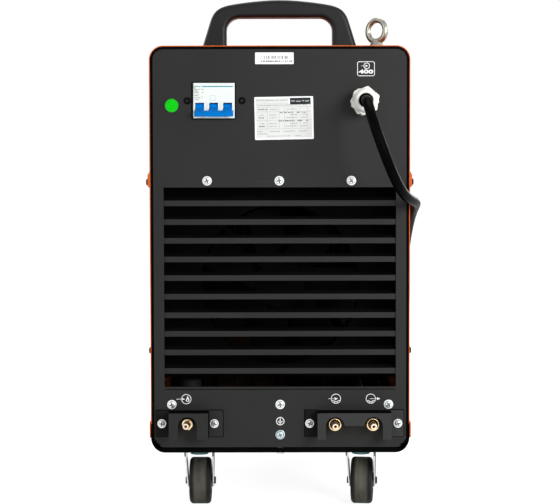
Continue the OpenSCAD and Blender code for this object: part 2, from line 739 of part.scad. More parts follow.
module cord_tie() color([0.1, 0.1, 0.1]) {
    tie_deg = -60;
    strap_t = 0.9;
    strap_w = 14;
    in_r = coil_radius(half_deg + tie_deg) - cord_r - 1;
    out_r = coil_radius(coil_total - half_deg / 2 + 180 + tie_deg) + cord_r + 1;
    low = 0.1;
    high = lay_z + coil_pitch + cord_r + 0.3 + strap_t;
    translate([coil_c.x, coil_c.y, 0]) rotate([0, 0, tie_deg]) translate([0, strap_w / 2, 0])
        rotate([90, 0, 0]) linear_extrude(strap_w) difference() {
            translate([(in_r + out_r) / 2, (low + high) / 2])
                round_rect(out_r - in_r + 2 * strap_t, high - low, 6);
            translate([(in_r + out_r) / 2, (low + high) / 2])
                round_rect(out_r - in_r, high - low - 2 * strap_t, 5.1);
        }
}

// ---- hose guards and fittings ----

// a folded guard: two flanges on the panel and a face standing out between its walls
module guard_shell(x0, x1, f0, f1) {
    translate([0, rear_y, guard_z0]) linear_extrude(guard_h) polygon([[x0, 0], [x0, -guard_t],
        [f0, -guard_t], [f0, -guard_out], [f1, -guard_out], [f1, -guard_t], [x1, -guard_t], [x1, 0],
        [f1 - guard_t, 0], [f1 - guard_t, guard_t - guard_out], [f0 + guard_t, guard_t - guard_out],
        [f0 + guard_t, 0]]);
}

// an inverted-U notch in a guard's face, open below
module notch(x0, x1, top) {
    r = (x1 - x0) / 2;
    block(x0, -guard_out - 1, guard_z0 - 1, x1 - x0, guard_t + 2, top - r - guard_z0 + 1);
    bar_y((x0 + x1) / 2, top - r, -guard_out - 1, guard_t + 2, r);
}

module guard_holes(xs) {
    for (x = xs) bar_y(x, guard_screw_z, -guard_t - 1, guard_t + 2, shank_r + hole_fit);
}

module air_guard() color([0.2, 0.2, 0.2]) difference() {
    guard_shell(-161, -74.5, -143, -92.3);
    notch(air_x - notch_r, air_x + notch_r, guard_z0 + guard_h - 5);
    guard_holes(air_screws_x);
}

module water_guard() color([0.2, 0.2, 0.2]) difference() {
    guard_shell(32, 160, 47.8, 142.8);
    for (x = [water_in_x, water_out_x]) notch(x - notch_r, x + notch_r, guard_z0 + guard_h - 5);
    block(water_in_x - notch_r, -guard_out - 1, guard_z0 - 1, water_out_x - water_in_x + 2 * notch_r,
        guard_t + 2, guard_h - 16.4 + 1);
    guard_holes(water_screws_x);
}

air_hex_out = 16;     // the air fitting's hexagon, out from the panel
collar_out = 19;      // the water fittings' recessed collars, out from the panel
collar_r = 8.7;
recess_r = 6.4;
recess = 8;
tail_reach = 18;      // the hose tails beyond the hexagon or the collar
fitting_bore_r = 2.5;

// the part of a bulkhead fitting at the panel and behind it: stub and nut
module bulkhead(x) {
    bar_y(x, fitting_z, -eps, 22, stub_r);
    translate([x, rear_y + panel_t, fitting_z]) rotate([-90, 0, 0]) hex_bar(13, 5);
}

// a brass hose tail in a recessed collar, with a hexagon on the panel
module water_fitting(x) color([0.78, 0.66, 0.4]) difference() {
    union() {
        difference() {
            bar_y(x, fitting_z, -collar_out, collar_out, collar_r);
            bar_y(x, fitting_z, -collar_out - 1, recess + 1, recess_r);
        }
        translate([x, rear_y, fitting_z]) rotate([90, 0, 0]) hex_bar(18, 6);
        bar_y(x, fitting_z, -collar_out - tail_reach, collar_out + tail_reach, water_tail_d / 2);
        bulkhead(x);
    }
    bar_y(x, fitting_z, -collar_out - tail_reach - 1, collar_out + tail_reach + 40, fitting_bore_r);
}

module air_inlet() color([0.78, 0.66, 0.4]) difference() {
    union() {
        translate([air_x, rear_y, fitting_z]) rotate([90, 0, 0]) hex_bar(12, air_hex_out);
        bar_y(air_x, fitting_z, -air_hex_out - tail_reach, air_hex_out + tail_reach, air_tail_d / 2);
        bulkhead(air_x);
    }
    bar_y(air_x, fitting_z, -air_hex_out - tail_reach - 1, air_hex_out + tail_reach + 40, fitting_bore_r);
}

module water_inlet() water_fitting(water_in_x);

module water_outlet() water_fitting(water_out_x);

// ---- casters ----

module caster_plates() color([0.72, 0.74, 0.75]) for (c = CASTERS) at_caster(c) {
    rotate([0, 0, -c[3]]) {
        difference() {
            translate([0, 0, caster_h - plate_t]) linear_extrude(plate_t) round_rect(plate_x, plate_y, 6);
            for (x = [-1, 1], y = [-1, 1]) translate([x * (plate_x / 2 - plate_bolt_in),
                y * (plate_y / 2 - plate_bolt_in), caster_h - plate_t - 1])
                cylinder(h = plate_t + 2, r = plate_bolt_r + hole_fit);
        }
        // bolts up through the pan, with their nuts
        for (x = [-1, 1], y = [-1, 1])
            translate([x * (plate_x / 2 - plate_bolt_in), y * (plate_y / 2 - plate_bolt_in), 0]) {
            translate([0, 0, caster_h - plate_t - 3.5]) hex_bar(8.6, 3.5);
            translate([0, 0, caster_h - plate_t - 1]) cylinder(h = plate_t + pan_t + 8, r = plate_bolt_r);
            translate([0, 0, caster_h + pan_t]) hex_bar(10, 5);
        }
    }
    // race and king pin
    translate([0, 0, fork_top + fit]) cylinder(h = caster_h - plate_t - fork_top - fit + eps, r = 15);
    translate([0, 0, fork_top - kingpin_seat - 1]) cylinder(h = kingpin_seat + 4, r = kingpin_r);
    translate([0, 0, fork_top - kingpin_seat - fit - 1.9]) cylinder(h = 1.9, r = 7.5);
}

// one leg of a fork, in Y and Z, round the axle at its lower end
module fork_leg_outline() {
    hull() {
        translate([trail, wheel_r]) circle(boss_r, $fn = 32);
        translate([-14, fork_top - 8]) square([34, 4]);
    }
    translate([-18, fork_top - 8]) square([38, 8]);
}

module fork(c) color([0.75, 0.77, 0.78]) at_caster(c) {
    difference() {
        union() {
            translate([0, 0, fork_top - 3]) cylinder(h = 3, r = 21);
            translate([0, 0, fork_top - 7]) cylinder(h = 7, r = 12);
            translate([-fork_out + 1, -18, fork_top - 2.6]) cube([2 * fork_out - 2, 38, 2.6]);
            for (s = [-1, 1]) translate([s * (fork_out - fork_t / 2), 0, fork_top]) rotate([0, s * fork_lean, 0])
                translate([-fork_t / 2, 0, -fork_top]) rotate([90, 0, 90])
                    linear_extrude(fork_t) fork_leg_outline();
        }
        translate([0, 0, fork_top - 20]) cylinder(h = 40, r = kingpin_r + running);
        translate([0, 0, fork_top - 20]) cylinder(h = 20 - kingpin_seat, r = 8.2);
        translate([0, trail, wheel_r]) rotate([0, 90, 0]) cylinder(h = 60, r = axle_r + running, center = true);
    }
    // axle bolt and nut
    translate([0, trail, wheel_r]) rotate([0, 90, 0]) {
        cylinder(h = 2 * fork_out, r = axle_r, center = true);
        translate([0, 0, fork_out - 1.4]) hex_bar(13, 4.4);
        translate([0, 0, -fork_out - 2.6]) hex_bar(13, 4);
    }
}

module hub(c) color([0.1, 0.1, 0.1]) at_caster(c) translate([0, trail, wheel_r]) rotate([0, 90, 0])
    difference() {
        union() {
            cylinder(h = hub_w, r = hub_r, center = true);
            cylinder(h = tyre_w - 6, r = rim_r, center = true);
        }
        cylinder(h = hub_w + 2, r = axle_r + running, center = true);
    }

module tyre(c) color([0.16, 0.16, 0.15]) at_caster(c) translate([0, trail, wheel_r]) rotate([0, 90, 0])
    rotate_extrude($fn = 96) difference() {
        union() {
            translate([rim_r - 3, -tyre_w / 2 + 7]) square([wheel_r - rim_r + 3, tyre_w - 14]);
            translate([rim_r - 3, -tyre_w / 2]) square([wheel_r - rim_r + 3 - 7, tyre_w]);
            for (s = [-1, 1]) translate([wheel_r - 7, s * (tyre_w / 2 - 7)]) circle(7);
        }
        translate([0, -tyre_w / 2 + 3]) square([rim_r, tyre_w - 6]);
        translate([0, -tyre_w]) square([rim_r - 3 + eps, 2 * tyre_w]);
    }

// ---- inside ----

module fan_shroud() color([0.12, 0.12, 0.12]) {
    duct_r = fan_d / 2 + 3;
    difference() {
        block(-insert_half, duct_u0 - 2, insert_z0 + 36, 2 * insert_half, 2,
            insert_z1 - insert_z0 - 38);
        bar_y(0, fan_z, duct_u0 - 3, 4, duct_r);
    }
    difference() {
        bar_y(0, fan_z, duct_u0 - 2, duct_u1 - duct_u0 + 2, duct_r + 3);
        bar_y(0, fan_z, duct_u0 - 3, duct_u1 - duct_u0 + 4, duct_r);
    }
    // stand-offs to the louvre insert
    for (s = [-1, 1], z = [insert_z0 + 40, insert_z1 - 5])
        bar_y(s * (insert_half - 3), z, panel_t + insert_t, duct_u0 - 2 - panel_t - insert_t + eps, 2.5);
    // motor, held by four arms behind the blades
    difference() {
        bar_y(0, fan_z, duct_u1 - 6, 44, motor_r);
        bar_y(0, fan_z, duct_u1 - 8, 12, 4 + running);
    }
    for (a = [45 : 90 : 315]) translate([0, rear_y + duct_u1 - 1, fan_z]) rotate([0, a, 0])
        translate([motor_r - 2, -4, -4]) cube([duct_r - motor_r + 4, 5, 8]);
}

module fan_rotor() color([0.1, 0.1, 0.1]) {
    hub_u = duct_u0 + 8;
    hub_len = 24;
    bar_y(0, fan_z, hub_u, hub_len, motor_r - 2);
    bar_y(0, fan_z, hub_u + hub_len - eps, 11, 4);
    intersection() {
        for (k = [0 : fan_blades - 1]) translate([0, rear_y + hub_u + hub_len / 2, fan_z])
            rotate([0, 360 * k / fan_blades, 0]) rotate([35, 0, 0])
                translate([motor_r - 6, -1, -26]) cube([fan_d, 2, 52]);
        bar_y(0, fan_z, hub_u - 6, hub_len + 8, fan_d / 2);
    }
}

module inner_frame() color([0.7, 0.71, 0.71]) {
    len_u = shelf_u1 - shelf_u0;
    leg_h = shelf_z - case_z0 - pan_t;
    block(-shelf_half, shelf_u0, shelf_z - 2, 2 * shelf_half, len_u, 2);
    for (s = [-1, 1]) {
        difference() {
            block(s > 0 ? shelf_half - 2 : -shelf_half, shelf_u0, case_z0 + pan_t, 2, len_u, leg_h);
            block(s > 0 ? shelf_half - 3 : -shelf_half - 1, shelf_u0 + 40, case_z0 + pan_t + 50, 4,
                len_u - 80, leg_h - 100);
        }
        block(s > 0 ? shelf_half - 16 : -shelf_half, shelf_u0, case_z0 + pan_t, 16, len_u, 2);
    }
}

module heat_sink() color([0.8, 0.81, 0.82]) {
    fins = 19;
    block(-sink_w / 2, sink_u, shelf_z + sink_h - 10, sink_w, sink_d, 10);
    for (k = [0 : fins - 1])
        block(-sink_w / 2 + k * (sink_w - 2.4) / (fins - 1), sink_u, shelf_z, 2.4, sink_d, sink_h - 9);
}

module power_modules() color([0.1, 0.1, 0.1])
    for (x = [-76, 0, 76]) block(x - 31, sink_u + 40, shelf_z + sink_h, 62, 108, module_h);

module main_transformer() color([0.25, 0.25, 0.27]) {
    z = case_z0 + pan_t;
    difference() {
        block(-110, core_u, z, 120, 60, 130);
        for (x = [-92, -38]) block(x, core_u - 1, z + 18, 30, 62, 94);
    }
    color([0.6, 0.35, 0.15]) difference() {
        block(-90, core_u - 14, z + 22, 80, 88, 86);
        block(-62.2, core_u - 15, z + 21, 24.4, 90, 88);
    }
}

module output_choke() color([0.6, 0.35, 0.15])
    translate([70, rear_y + core_u + 40, case_z0 + pan_t]) rotate_extrude($fn = 64)
        translate([26, 0]) square([28, choke_h]);

module inverter_board() color([0.1, 0.35, 0.2]) {
    block(-112, sink_u + 4, board_z, 224, 192, 1.6);
    color([0.12, 0.14, 0.2]) for (x = [-75, -25, 25, 75], y = [34, 78])
        translate([x, rear_y + sink_u + y, board_z + 1.6 - eps]) cylinder(h = 50, r = 17);
}

module control_board() color([0.1, 0.35, 0.2]) {
    u = case_d - panel_t - 26;
    block(-110, u, fascia_z0 + 22, 220, 1.6, fascia_z1 - fascia_z0 - 44);
    for (x = [-104, 104], z = [fascia_z0 + 28, fascia_z1 - 28]) bar_y(x, z, u + 1.6 - eps, 20.4, 3);
}

module solenoid_valve() color([0.5, 0.5, 0.52]) {
    foot_h = 8;
    block(air_x - 6, valve_u, case_z0 + pan_t, 12, valve_d, foot_h + eps);
    block(air_x - 16, valve_u, case_z0 + pan_t + foot_h, 32, valve_d, 42);
    translate([air_x, rear_y + valve_u + valve_d / 2, case_z0 + pan_t + foot_h + 42 - eps])
        cylinder(h = 36, r = 14);
    bar_y(air_x, fitting_z, valve_u - 9, 9 + eps, stub_r);
    bar_y(air_x, fitting_z, valve_u + valve_d - eps, 12, stub_r);
}

// a straight hose with its bore
module hose(x, z, u0, u1, r) {
    difference() {
        bar_y(x, z, u0, u1 - u0, r + 1.8);
        bar_y(x, z, u0 - 1, u1 - u0 + 2, r);
    }
}

module internal_hoses() color([0.1, 0.2, 0.5]) {
    bore_r = stub_r + running;
    hose(air_x, fitting_z, 12, valve_u - 1, bore_r);
    hose(air_x, fitting_z, valve_u + valve_d + 1, case_d - drop_in - 8, bore_r);
    for (x = [water_in_x, water_out_x]) hose(x, fitting_z, 12, case_d - 12, bore_r);
}

// ---- front ----

module control_fascia() color([0.1, 0.1, 0.1]) {
    difference() {
        union() {
            standing(case_d, fascia_out) translate([0, (fascia_z0 + fascia_z1) / 2])
                round_rect(2 * fascia_half, fascia_z1 - fascia_z0, 10);
            block(-fascia_half + 8 + fit, case_d - 6, fascia_z0 + 8 + fit, 2 * fascia_half - 16 - 2 * fit, 6 + eps,
                fascia_z1 - fascia_z0 - 16 - 2 * fit);
        }
        // a shallow recess for the face, the window's seat and the switches' frames
        standing(case_d + fascia_out - 1.5, 3) translate([0, (fascia_z0 + fascia_z1) / 2])
            round_rect(2 * fascia_half - 16, fascia_z1 - fascia_z0 - 16, 6);
        block(window_x - window_w / 2 - fit, case_d + 1, window_z - window_h / 2 - fit,
            window_w + 2 * fit, 20, window_h + 2 * fit);
        for (x = switch_x) block(x - rocker_w / 2 - 0.4, case_d - 10, switch_z - rocker_h / 2 - 0.4,
            rocker_w + 0.8, 30, rocker_h + 0.8);
        for (x = switch_x) translate([x, fascia_face - rocker_back, switch_z]) rotate([0, 90, 0])
            cylinder(h = rocker_w + 5, r = 1.5 + running, center = true);
        bar_y(knob_x, knob_z, case_d - 10, 30, 3 + running);
        for (x = lamp_x) bar_y(x, lamp_z, case_d, 20, 3.6);
    }
}

module display_window() color([0.35, 0.05, 0.05]) {
    block(window_x - window_w / 2, case_d + 1, window_z - window_h / 2, window_w, fascia_out - 2, window_h);
    for (x = lamp_x) {
        bar_y(x, lamp_z, case_d, fascia_out - 0.5, 3.5);
        translate([x, front_y + fascia_out - 0.5, lamp_z]) sphere(3.5);
    }
}

module current_knob() color([0.08, 0.08, 0.08])
    translate([knob_x, front_y + fascia_out - 1.5 + fit, knob_z]) rotate([-90, 0, 0]) {
        cylinder(h = 2.5, r = knob_d / 2);
        translate([0, 0, 2.5 - eps]) cylinder(h = 16, r1 = knob_d / 2 - 3, r2 = knob_d / 2 - 5);
        translate([0, 0, -14]) cylinder(h = 14 + eps, r = 3);
        translate([-1, -knob_d / 2 + 4, 18]) cube([2, 12, 1.2]);
    }

// a rocker on its pivot in the fascia, tipped to one end of its travel
module rocker(x) {
    half = rocker_h / 2 - 1.5;
    translate([x, fascia_face - rocker_back, switch_z]) rotate([-rocker_tip, 0, 0]) {
        translate([-rocker_w / 2, 0, 0]) rotate([90, 0, 90]) linear_extrude(rocker_w) polygon([[-3, -6],
            [rocker_back, -half], [rocker_back + 2, -half], [rocker_back + 4.2, 0],
            [rocker_back + 2, half], [rocker_back, half], [-3, 6]]);
        rotate([0, 90, 0]) cylinder(h = rocker_w + 4, r = 1.5, center = true);
    }
}

module mode_switch() color([0.6, 0.06, 0.05]) rocker(switch_x[0]);

module gas_switch() color([0.07, 0.07, 0.07]) rocker(switch_x[1]);

// a panel socket for a twist-lock lead, or a round connector: flange, rim and bore
module panel_socket(x, flange_r, body_r, rim_r, out, bore_r, depth) {
    difference() {
        union() {
            bar_y(x, socket_z, case_d, 6, flange_r);
            bar_y(x, socket_z, case_d, out, rim_r);
            bar_y(x, socket_z, case_d - 30, 31, body_r);
        }
        bar_y(x, socket_z, case_d + out - depth, depth + 1, bore_r);
    }
}

module work_socket() color([0.09, 0.09, 0.09])
    panel_socket(work_x, 24, work_body_r, 20, 14, socket_bore / 2, 30);

module pilot_socket() color([0.09, 0.09, 0.09])
    panel_socket(pilot_x, 17, pilot_body_r, 14, 12, 4.5, 24);

module torch_connector() color([0.75, 0.6, 0.3]) {
    panel_socket(torch_x, 27, torch_body_r, 22, 12, 15, 20);
    bar_y(torch_x, socket_z, case_d - 10, post_out + 10, 11);
    difference() {
        bar_y(torch_x, socket_z, case_d + post_out - eps, torch_out - post_out + eps, 13);
        bar_y(torch_x, socket_z, case_d + post_out, torch_out, torch_bore / 2);
    }
    // the gas drop pipe, from the hose up to the connector's back
    translate([air_x, front_y - drop_in, fitting_z - drop_r - 1])
        cylinder(h = socket_z - fitting_z, r = drop_r);
    bar_y(air_x, fitting_z, case_d - drop_in - 20, 20, stub_r);
}

module torch_water_ports() color([0.78, 0.66, 0.4]) for (x = [water_in_x, water_out_x]) difference() {
    union() {
        translate([x, front_y, fitting_z]) rotate([-90, 0, 0]) hex_bar(15, 7);
        bar_y(x, fitting_z, case_d, 30, water_tail_d / 2);
        bar_y(x, fitting_z, case_d - 22, 22 + eps, stub_r);
    }
    bar_y(x, fitting_z, case_d - 30, 70, 2.5);
}

echo(cord_run_mm = run_length(CORD_LINE), coil_run_mm = run_length(COIL_POINTS),
    coil_gap_mm = lap_gap(COIL_POINTS, 14));

base_pan();
outer_cover();
rear_panel();
rear_louvre();
front_panel();
control_fascia();
carry_handle();
lifting_eyes();
panel_screws();
earth_screw();
cover_screws();
rating_plate();
labels();
breaker_body();
breaker_toggle();
gland_body();
gland_cap();
gland_seal();
power_cord();
power_cord_coil();
cord_end();
cord_tie();
air_guard();
water_guard();
air_inlet();
water_inlet();
water_outlet();
caster_plates();
fork(CASTERS[0]);  // fork_rear_left
fork(CASTERS[1]);  // fork_rear_right
fork(CASTERS[2]);  // fork_front_left
fork(CASTERS[3]);  // fork_front_right
hub(CASTERS[0]);  // hub_rear_left
hub(CASTERS[1]);  // hub_rear_right
hub(CASTERS[2]);  // hub_front_left
hub(CASTERS[3]);  // hub_front_right
tyre(CASTERS[0]);  // tyre_rear_left
tyre(CASTERS[1]);  // tyre_rear_right
tyre(CASTERS[2]);  // tyre_front_left
tyre(CASTERS[3]);  // tyre_front_right
fan_shroud();
fan_rotor();
inner_frame();
heat_sink();
power_modules();
main_transformer();
output_choke();
inverter_board();
control_board();
solenoid_valve();
internal_hoses();
torch_connector();
work_socket();
pilot_socket();
torch_water_ports();
display_window();
current_knob();
mode_switch();
gas_switch();
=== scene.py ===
import random
from math import copysign, cos, hypot, pi, radians, sin

import bmesh
import bpy
from mathutils import Matrix, Vector


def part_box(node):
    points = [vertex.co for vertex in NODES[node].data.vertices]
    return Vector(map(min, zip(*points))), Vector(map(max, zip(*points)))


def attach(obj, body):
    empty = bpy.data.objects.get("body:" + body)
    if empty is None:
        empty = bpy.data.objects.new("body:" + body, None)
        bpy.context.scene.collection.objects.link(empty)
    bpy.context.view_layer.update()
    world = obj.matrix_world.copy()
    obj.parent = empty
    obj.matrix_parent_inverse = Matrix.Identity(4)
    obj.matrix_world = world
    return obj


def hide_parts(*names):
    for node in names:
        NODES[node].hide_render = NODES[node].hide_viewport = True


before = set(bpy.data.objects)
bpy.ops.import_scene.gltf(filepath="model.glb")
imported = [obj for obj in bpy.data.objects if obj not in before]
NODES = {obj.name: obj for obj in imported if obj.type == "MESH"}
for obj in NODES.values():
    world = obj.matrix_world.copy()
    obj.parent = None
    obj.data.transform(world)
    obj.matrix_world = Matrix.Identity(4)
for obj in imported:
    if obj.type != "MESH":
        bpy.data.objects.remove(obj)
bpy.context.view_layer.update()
MM = 0.001
LARGE_FACE = 0.0002   # square metres; a face this large is shaded flat
scene = bpy.context.scene
scene.view_settings.view_transform = "Standard"


def corners(node):
    """A CAD node's lowest and highest corners, in millimetres."""
    low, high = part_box(node)
    return low / MM, high / MM


def middle(node):
    low, high = corners(node)
    return (low + high) / 2


def show(name, data):
    """An object of that name in the scene."""
    thing = bpy.data.objects.new(name, data)
    scene.collection.objects.link(thing)
    return thing


# the case's faces and levels, in millimetres; REAR faces the camera, along -y
REAR = corners("rear_panel")[0].y
FRONT = corners("front_panel")[1].y
Z1 = corners("outer_cover")[1].z
HALF_W = 168.0


# ---------------- camera

CAMERA_AT = (0.00025, -2.295, 0.443)
LOOK_DOWN, ROLL = 2.733, 0.1            # degrees
PICTURE_W, FOCAL = 560, 1550            # pixels
SENSOR = 36                             # millimetres
FAR_CLIP = 60                           # metres


def aim_camera():
    """Looks at the rear from a little above its middle, and is hardly rolled."""
    data = bpy.data.cameras.new("camera")
    data.sensor_width = SENSOR
    data.lens = SENSOR * FOCAL / PICTURE_W
    data.clip_end = FAR_CLIP
    cam = show("camera", data)
    cam.location = CAMERA_AT
    cam.rotation_euler = (radians(90 - LOOK_DOWN), radians(ROLL), 0)
    scene.camera = cam


aim_camera()


# ---------------- cord

# the route from the gland to the coil, given point by point
CORD_POINTS = [(109, -325, 541), (109, -350, 541), (109, -385, 532), (116, -409, 504),
               (130, -411, 465), (146, -387, 431), (161, -345, 416), (177, -300, 412), (176, -258, 404),
               (175, -215, 389), (175, -170, 369), (175, -125, 343), (175, -85, 313), (175, -45, 277),
               (175, -5, 236), (176, 35, 191), (177, 75, 146), (179, 115, 104), (181, 155, 67),
               (183, 195, 38), (184, 240, 18), (184, 290, 8), (184, 345, 7.6), (184, 400, 7.6)]
CORD_D = 13.0
LAY_Z = 7.6      # the cord's middle, where it lies on the floor
COIL_R, COIL_PITCH, COIL_TURNS = 81.0, CORD_D + 0.6, 2
COIL_HALF, COIL_CLIMB = 360 * COIL_TURNS, 180   # degrees
SPLINE_STEPS, COIL_STEP = 6, 6
COIL_TOTAL = 2 * COIL_HALF + COIL_CLIMB
COIL_C = (CORD_POINTS[-1][0] - COIL_R, CORD_POINTS[-1][1] + CORD_D)


def spline(points, steps):
    """A smooth curve that the points pull towards themselves."""
    p = [Vector(q) for q in points]
    out = []
    for i in range(len(p) - 1):
        before = p[i - 1] if i else 2 * p[0] - p[1]
        after = p[i + 2] if i + 2 < len(p) else 2 * p[i + 1] - p[i]
        for k in range(steps):
            t = k / steps
            out.append(((1 - t) ** 3 * before + (3 * t ** 3 - 6 * t * t + 4) * p[i]
                        + (-3 * t ** 3 + 3 * t * t + 3 * t + 1) * p[i + 1] + t ** 3 * after) / 6)
    return out + [p[-1]]


def coil_point(a):
    """A point at an angle along the coil: two turns inwards, a climb, and two turns outwards on top."""
    r = COIL_R - COIL_PITCH * min(a, COIL_TOTAL - a) / 360
    share = min(1, max(0, (a - COIL_HALF) / COIL_CLIMB))
    z = LAY_Z + COIL_PITCH * (1 - cos(pi * share)) / 2
    return Vector((COIL_C[0] + r * cos(radians(a)), COIL_C[1] + r * sin(radians(a)), z))


def cord_line():
    line = spline(CORD_POINTS, SPLINE_STEPS)
    line += [coil_point(a) for a in range(0, COIL_TOTAL + 1, COIL_STEP)]
    line.append(line[-1] + Vector((0, -CORD_D, 0)))
    return line


# ---------------- materials

def feed(nt, node, inputs):
    """Sets each named input to a value, or links it to another node's output."""
    for name, value in inputs.items():
        if isinstance(value, bpy.types.NodeSocket):
            nt.links.new(value, node.inputs[name])
        else:
            node.inputs[name].default_value = value


def add_node(nt, kind, inputs, **settings):
    """Makes a shader node and returns its outputs."""
    node = nt.nodes.new("ShaderNode" + kind)
    for name, value in settings.items():
        setattr(node, name, value)
    feed(nt, node, inputs)
    return node.outputs


def value_noise(nt, vector, scale, detail, rough, stretch=None):
    if stretch:
        vector = add_node(nt, "Mapping", {"Vector": vector, "Scale": stretch})["Vector"]
    return add_node(nt, "TexNoise", {"Vector": vector, "Scale": scale, "Detail": detail,
                                     "Roughness": rough})["Fac"]


def spread(nt, value, low, high, to_low=0.0, to_high=1.0):
    return add_node(nt, "MapRange", {"Value": value, "From Min": low, "From Max": high, "To Min": to_low,
                                     "To Max": to_high})["Result"]


def blend(nt, share, a, b):
    """a where the share is 0, b where it is 1"""
    return add_node(nt, "Mix", {0: share, 6: a, 7: b}, data_type="RGBA")[2]


def rgba(colour):
    """A colour is red, green and blue, or one number for a grey."""
    return (*(colour if isinstance(colour, tuple) else (colour,) * 3), 1)


IOR, COAT_ROUGH = 1.5, 0.15
PATCH_EDGES, MARK_EDGES, SPECK_EDGE = (0.36, 0.64), (0.3, 0.7), 0.06   # noise levels
MARK_SCALE = 22


def finish(name, colour, other, patch, rough, grain, waves=None, specks=None, stretch=None, metallic=0.0,
           specular=0.5, coat=0.0, sheen=0.0):
    """A procedural surface: two tones in soft patches of a noise scale, and roughness between two values.
    grain and waves are relief; specks are (colour, noise scale, threshold)."""
    mat = bpy.data.materials.new(name)
    mat.use_nodes = True
    nt = mat.node_tree
    place = add_node(nt, "TexCoord", {})["Object"]
    patches = value_noise(nt, place, patch, 5.0, 0.6, stretch)
    tone = blend(nt, spread(nt, patches, *PATCH_EDGES), rgba(colour), rgba(other))
    if specks:
        speck, scale, edge = specks
        dots = value_noise(nt, place, scale, 2.0, 0.6)
        tone = blend(nt, spread(nt, dots, edge, edge + SPECK_EDGE), tone, rgba(speck))
    marks = value_noise(nt, place, MARK_SCALE, 6.0, 0.65, stretch)
    surface = {"Base Color": tone, "Roughness": spread(nt, marks, *MARK_EDGES, *rough), "Metallic": metallic,
               "IOR": IOR, "Specular IOR Level": specular, "Coat Weight": coat, "Coat Roughness": COAT_ROUGH,
               "Sheen Weight": sheen}
    for relief in (waves, grain):
        if relief:
            scale, strength, depth = relief
            bump = {"Height": value_noise(nt, place, scale, 3.0, 0.55, stretch), "Strength": strength,
                    "Distance": depth}
            if "Normal" in surface:
                bump["Normal"] = surface["Normal"]
            surface["Normal"] = add_node(nt, "Bump", bump)["Normal"]
    feed(nt, nt.nodes["Principled BSDF"], surface)
    return mat


# relief: noise scale, strength, depth in metres
INK_GRAIN = (1500, 0.1, 0.00002)
FINE_GRAIN = (900, 0.3, 0.00005)
SLEEVE_GRAIN = (900, 0.2, 0.00005)
POWDER_GRAIN = (1500, 0.5, 0.00012)
FILM_GRAIN = (1200, 0.2, 0.00004)
PLATED_GRAIN = (800, 0.25, 0.00005)
BLACK_GRAIN = (1300, 0.4, 0.00010)
ZINC_GRAIN = (900, 0.25, 0.00005)
STICKER_GRAIN = (700, 0.15, 0.00004)
MOULDED_GRAIN = (900, 0.4, 0.00010)

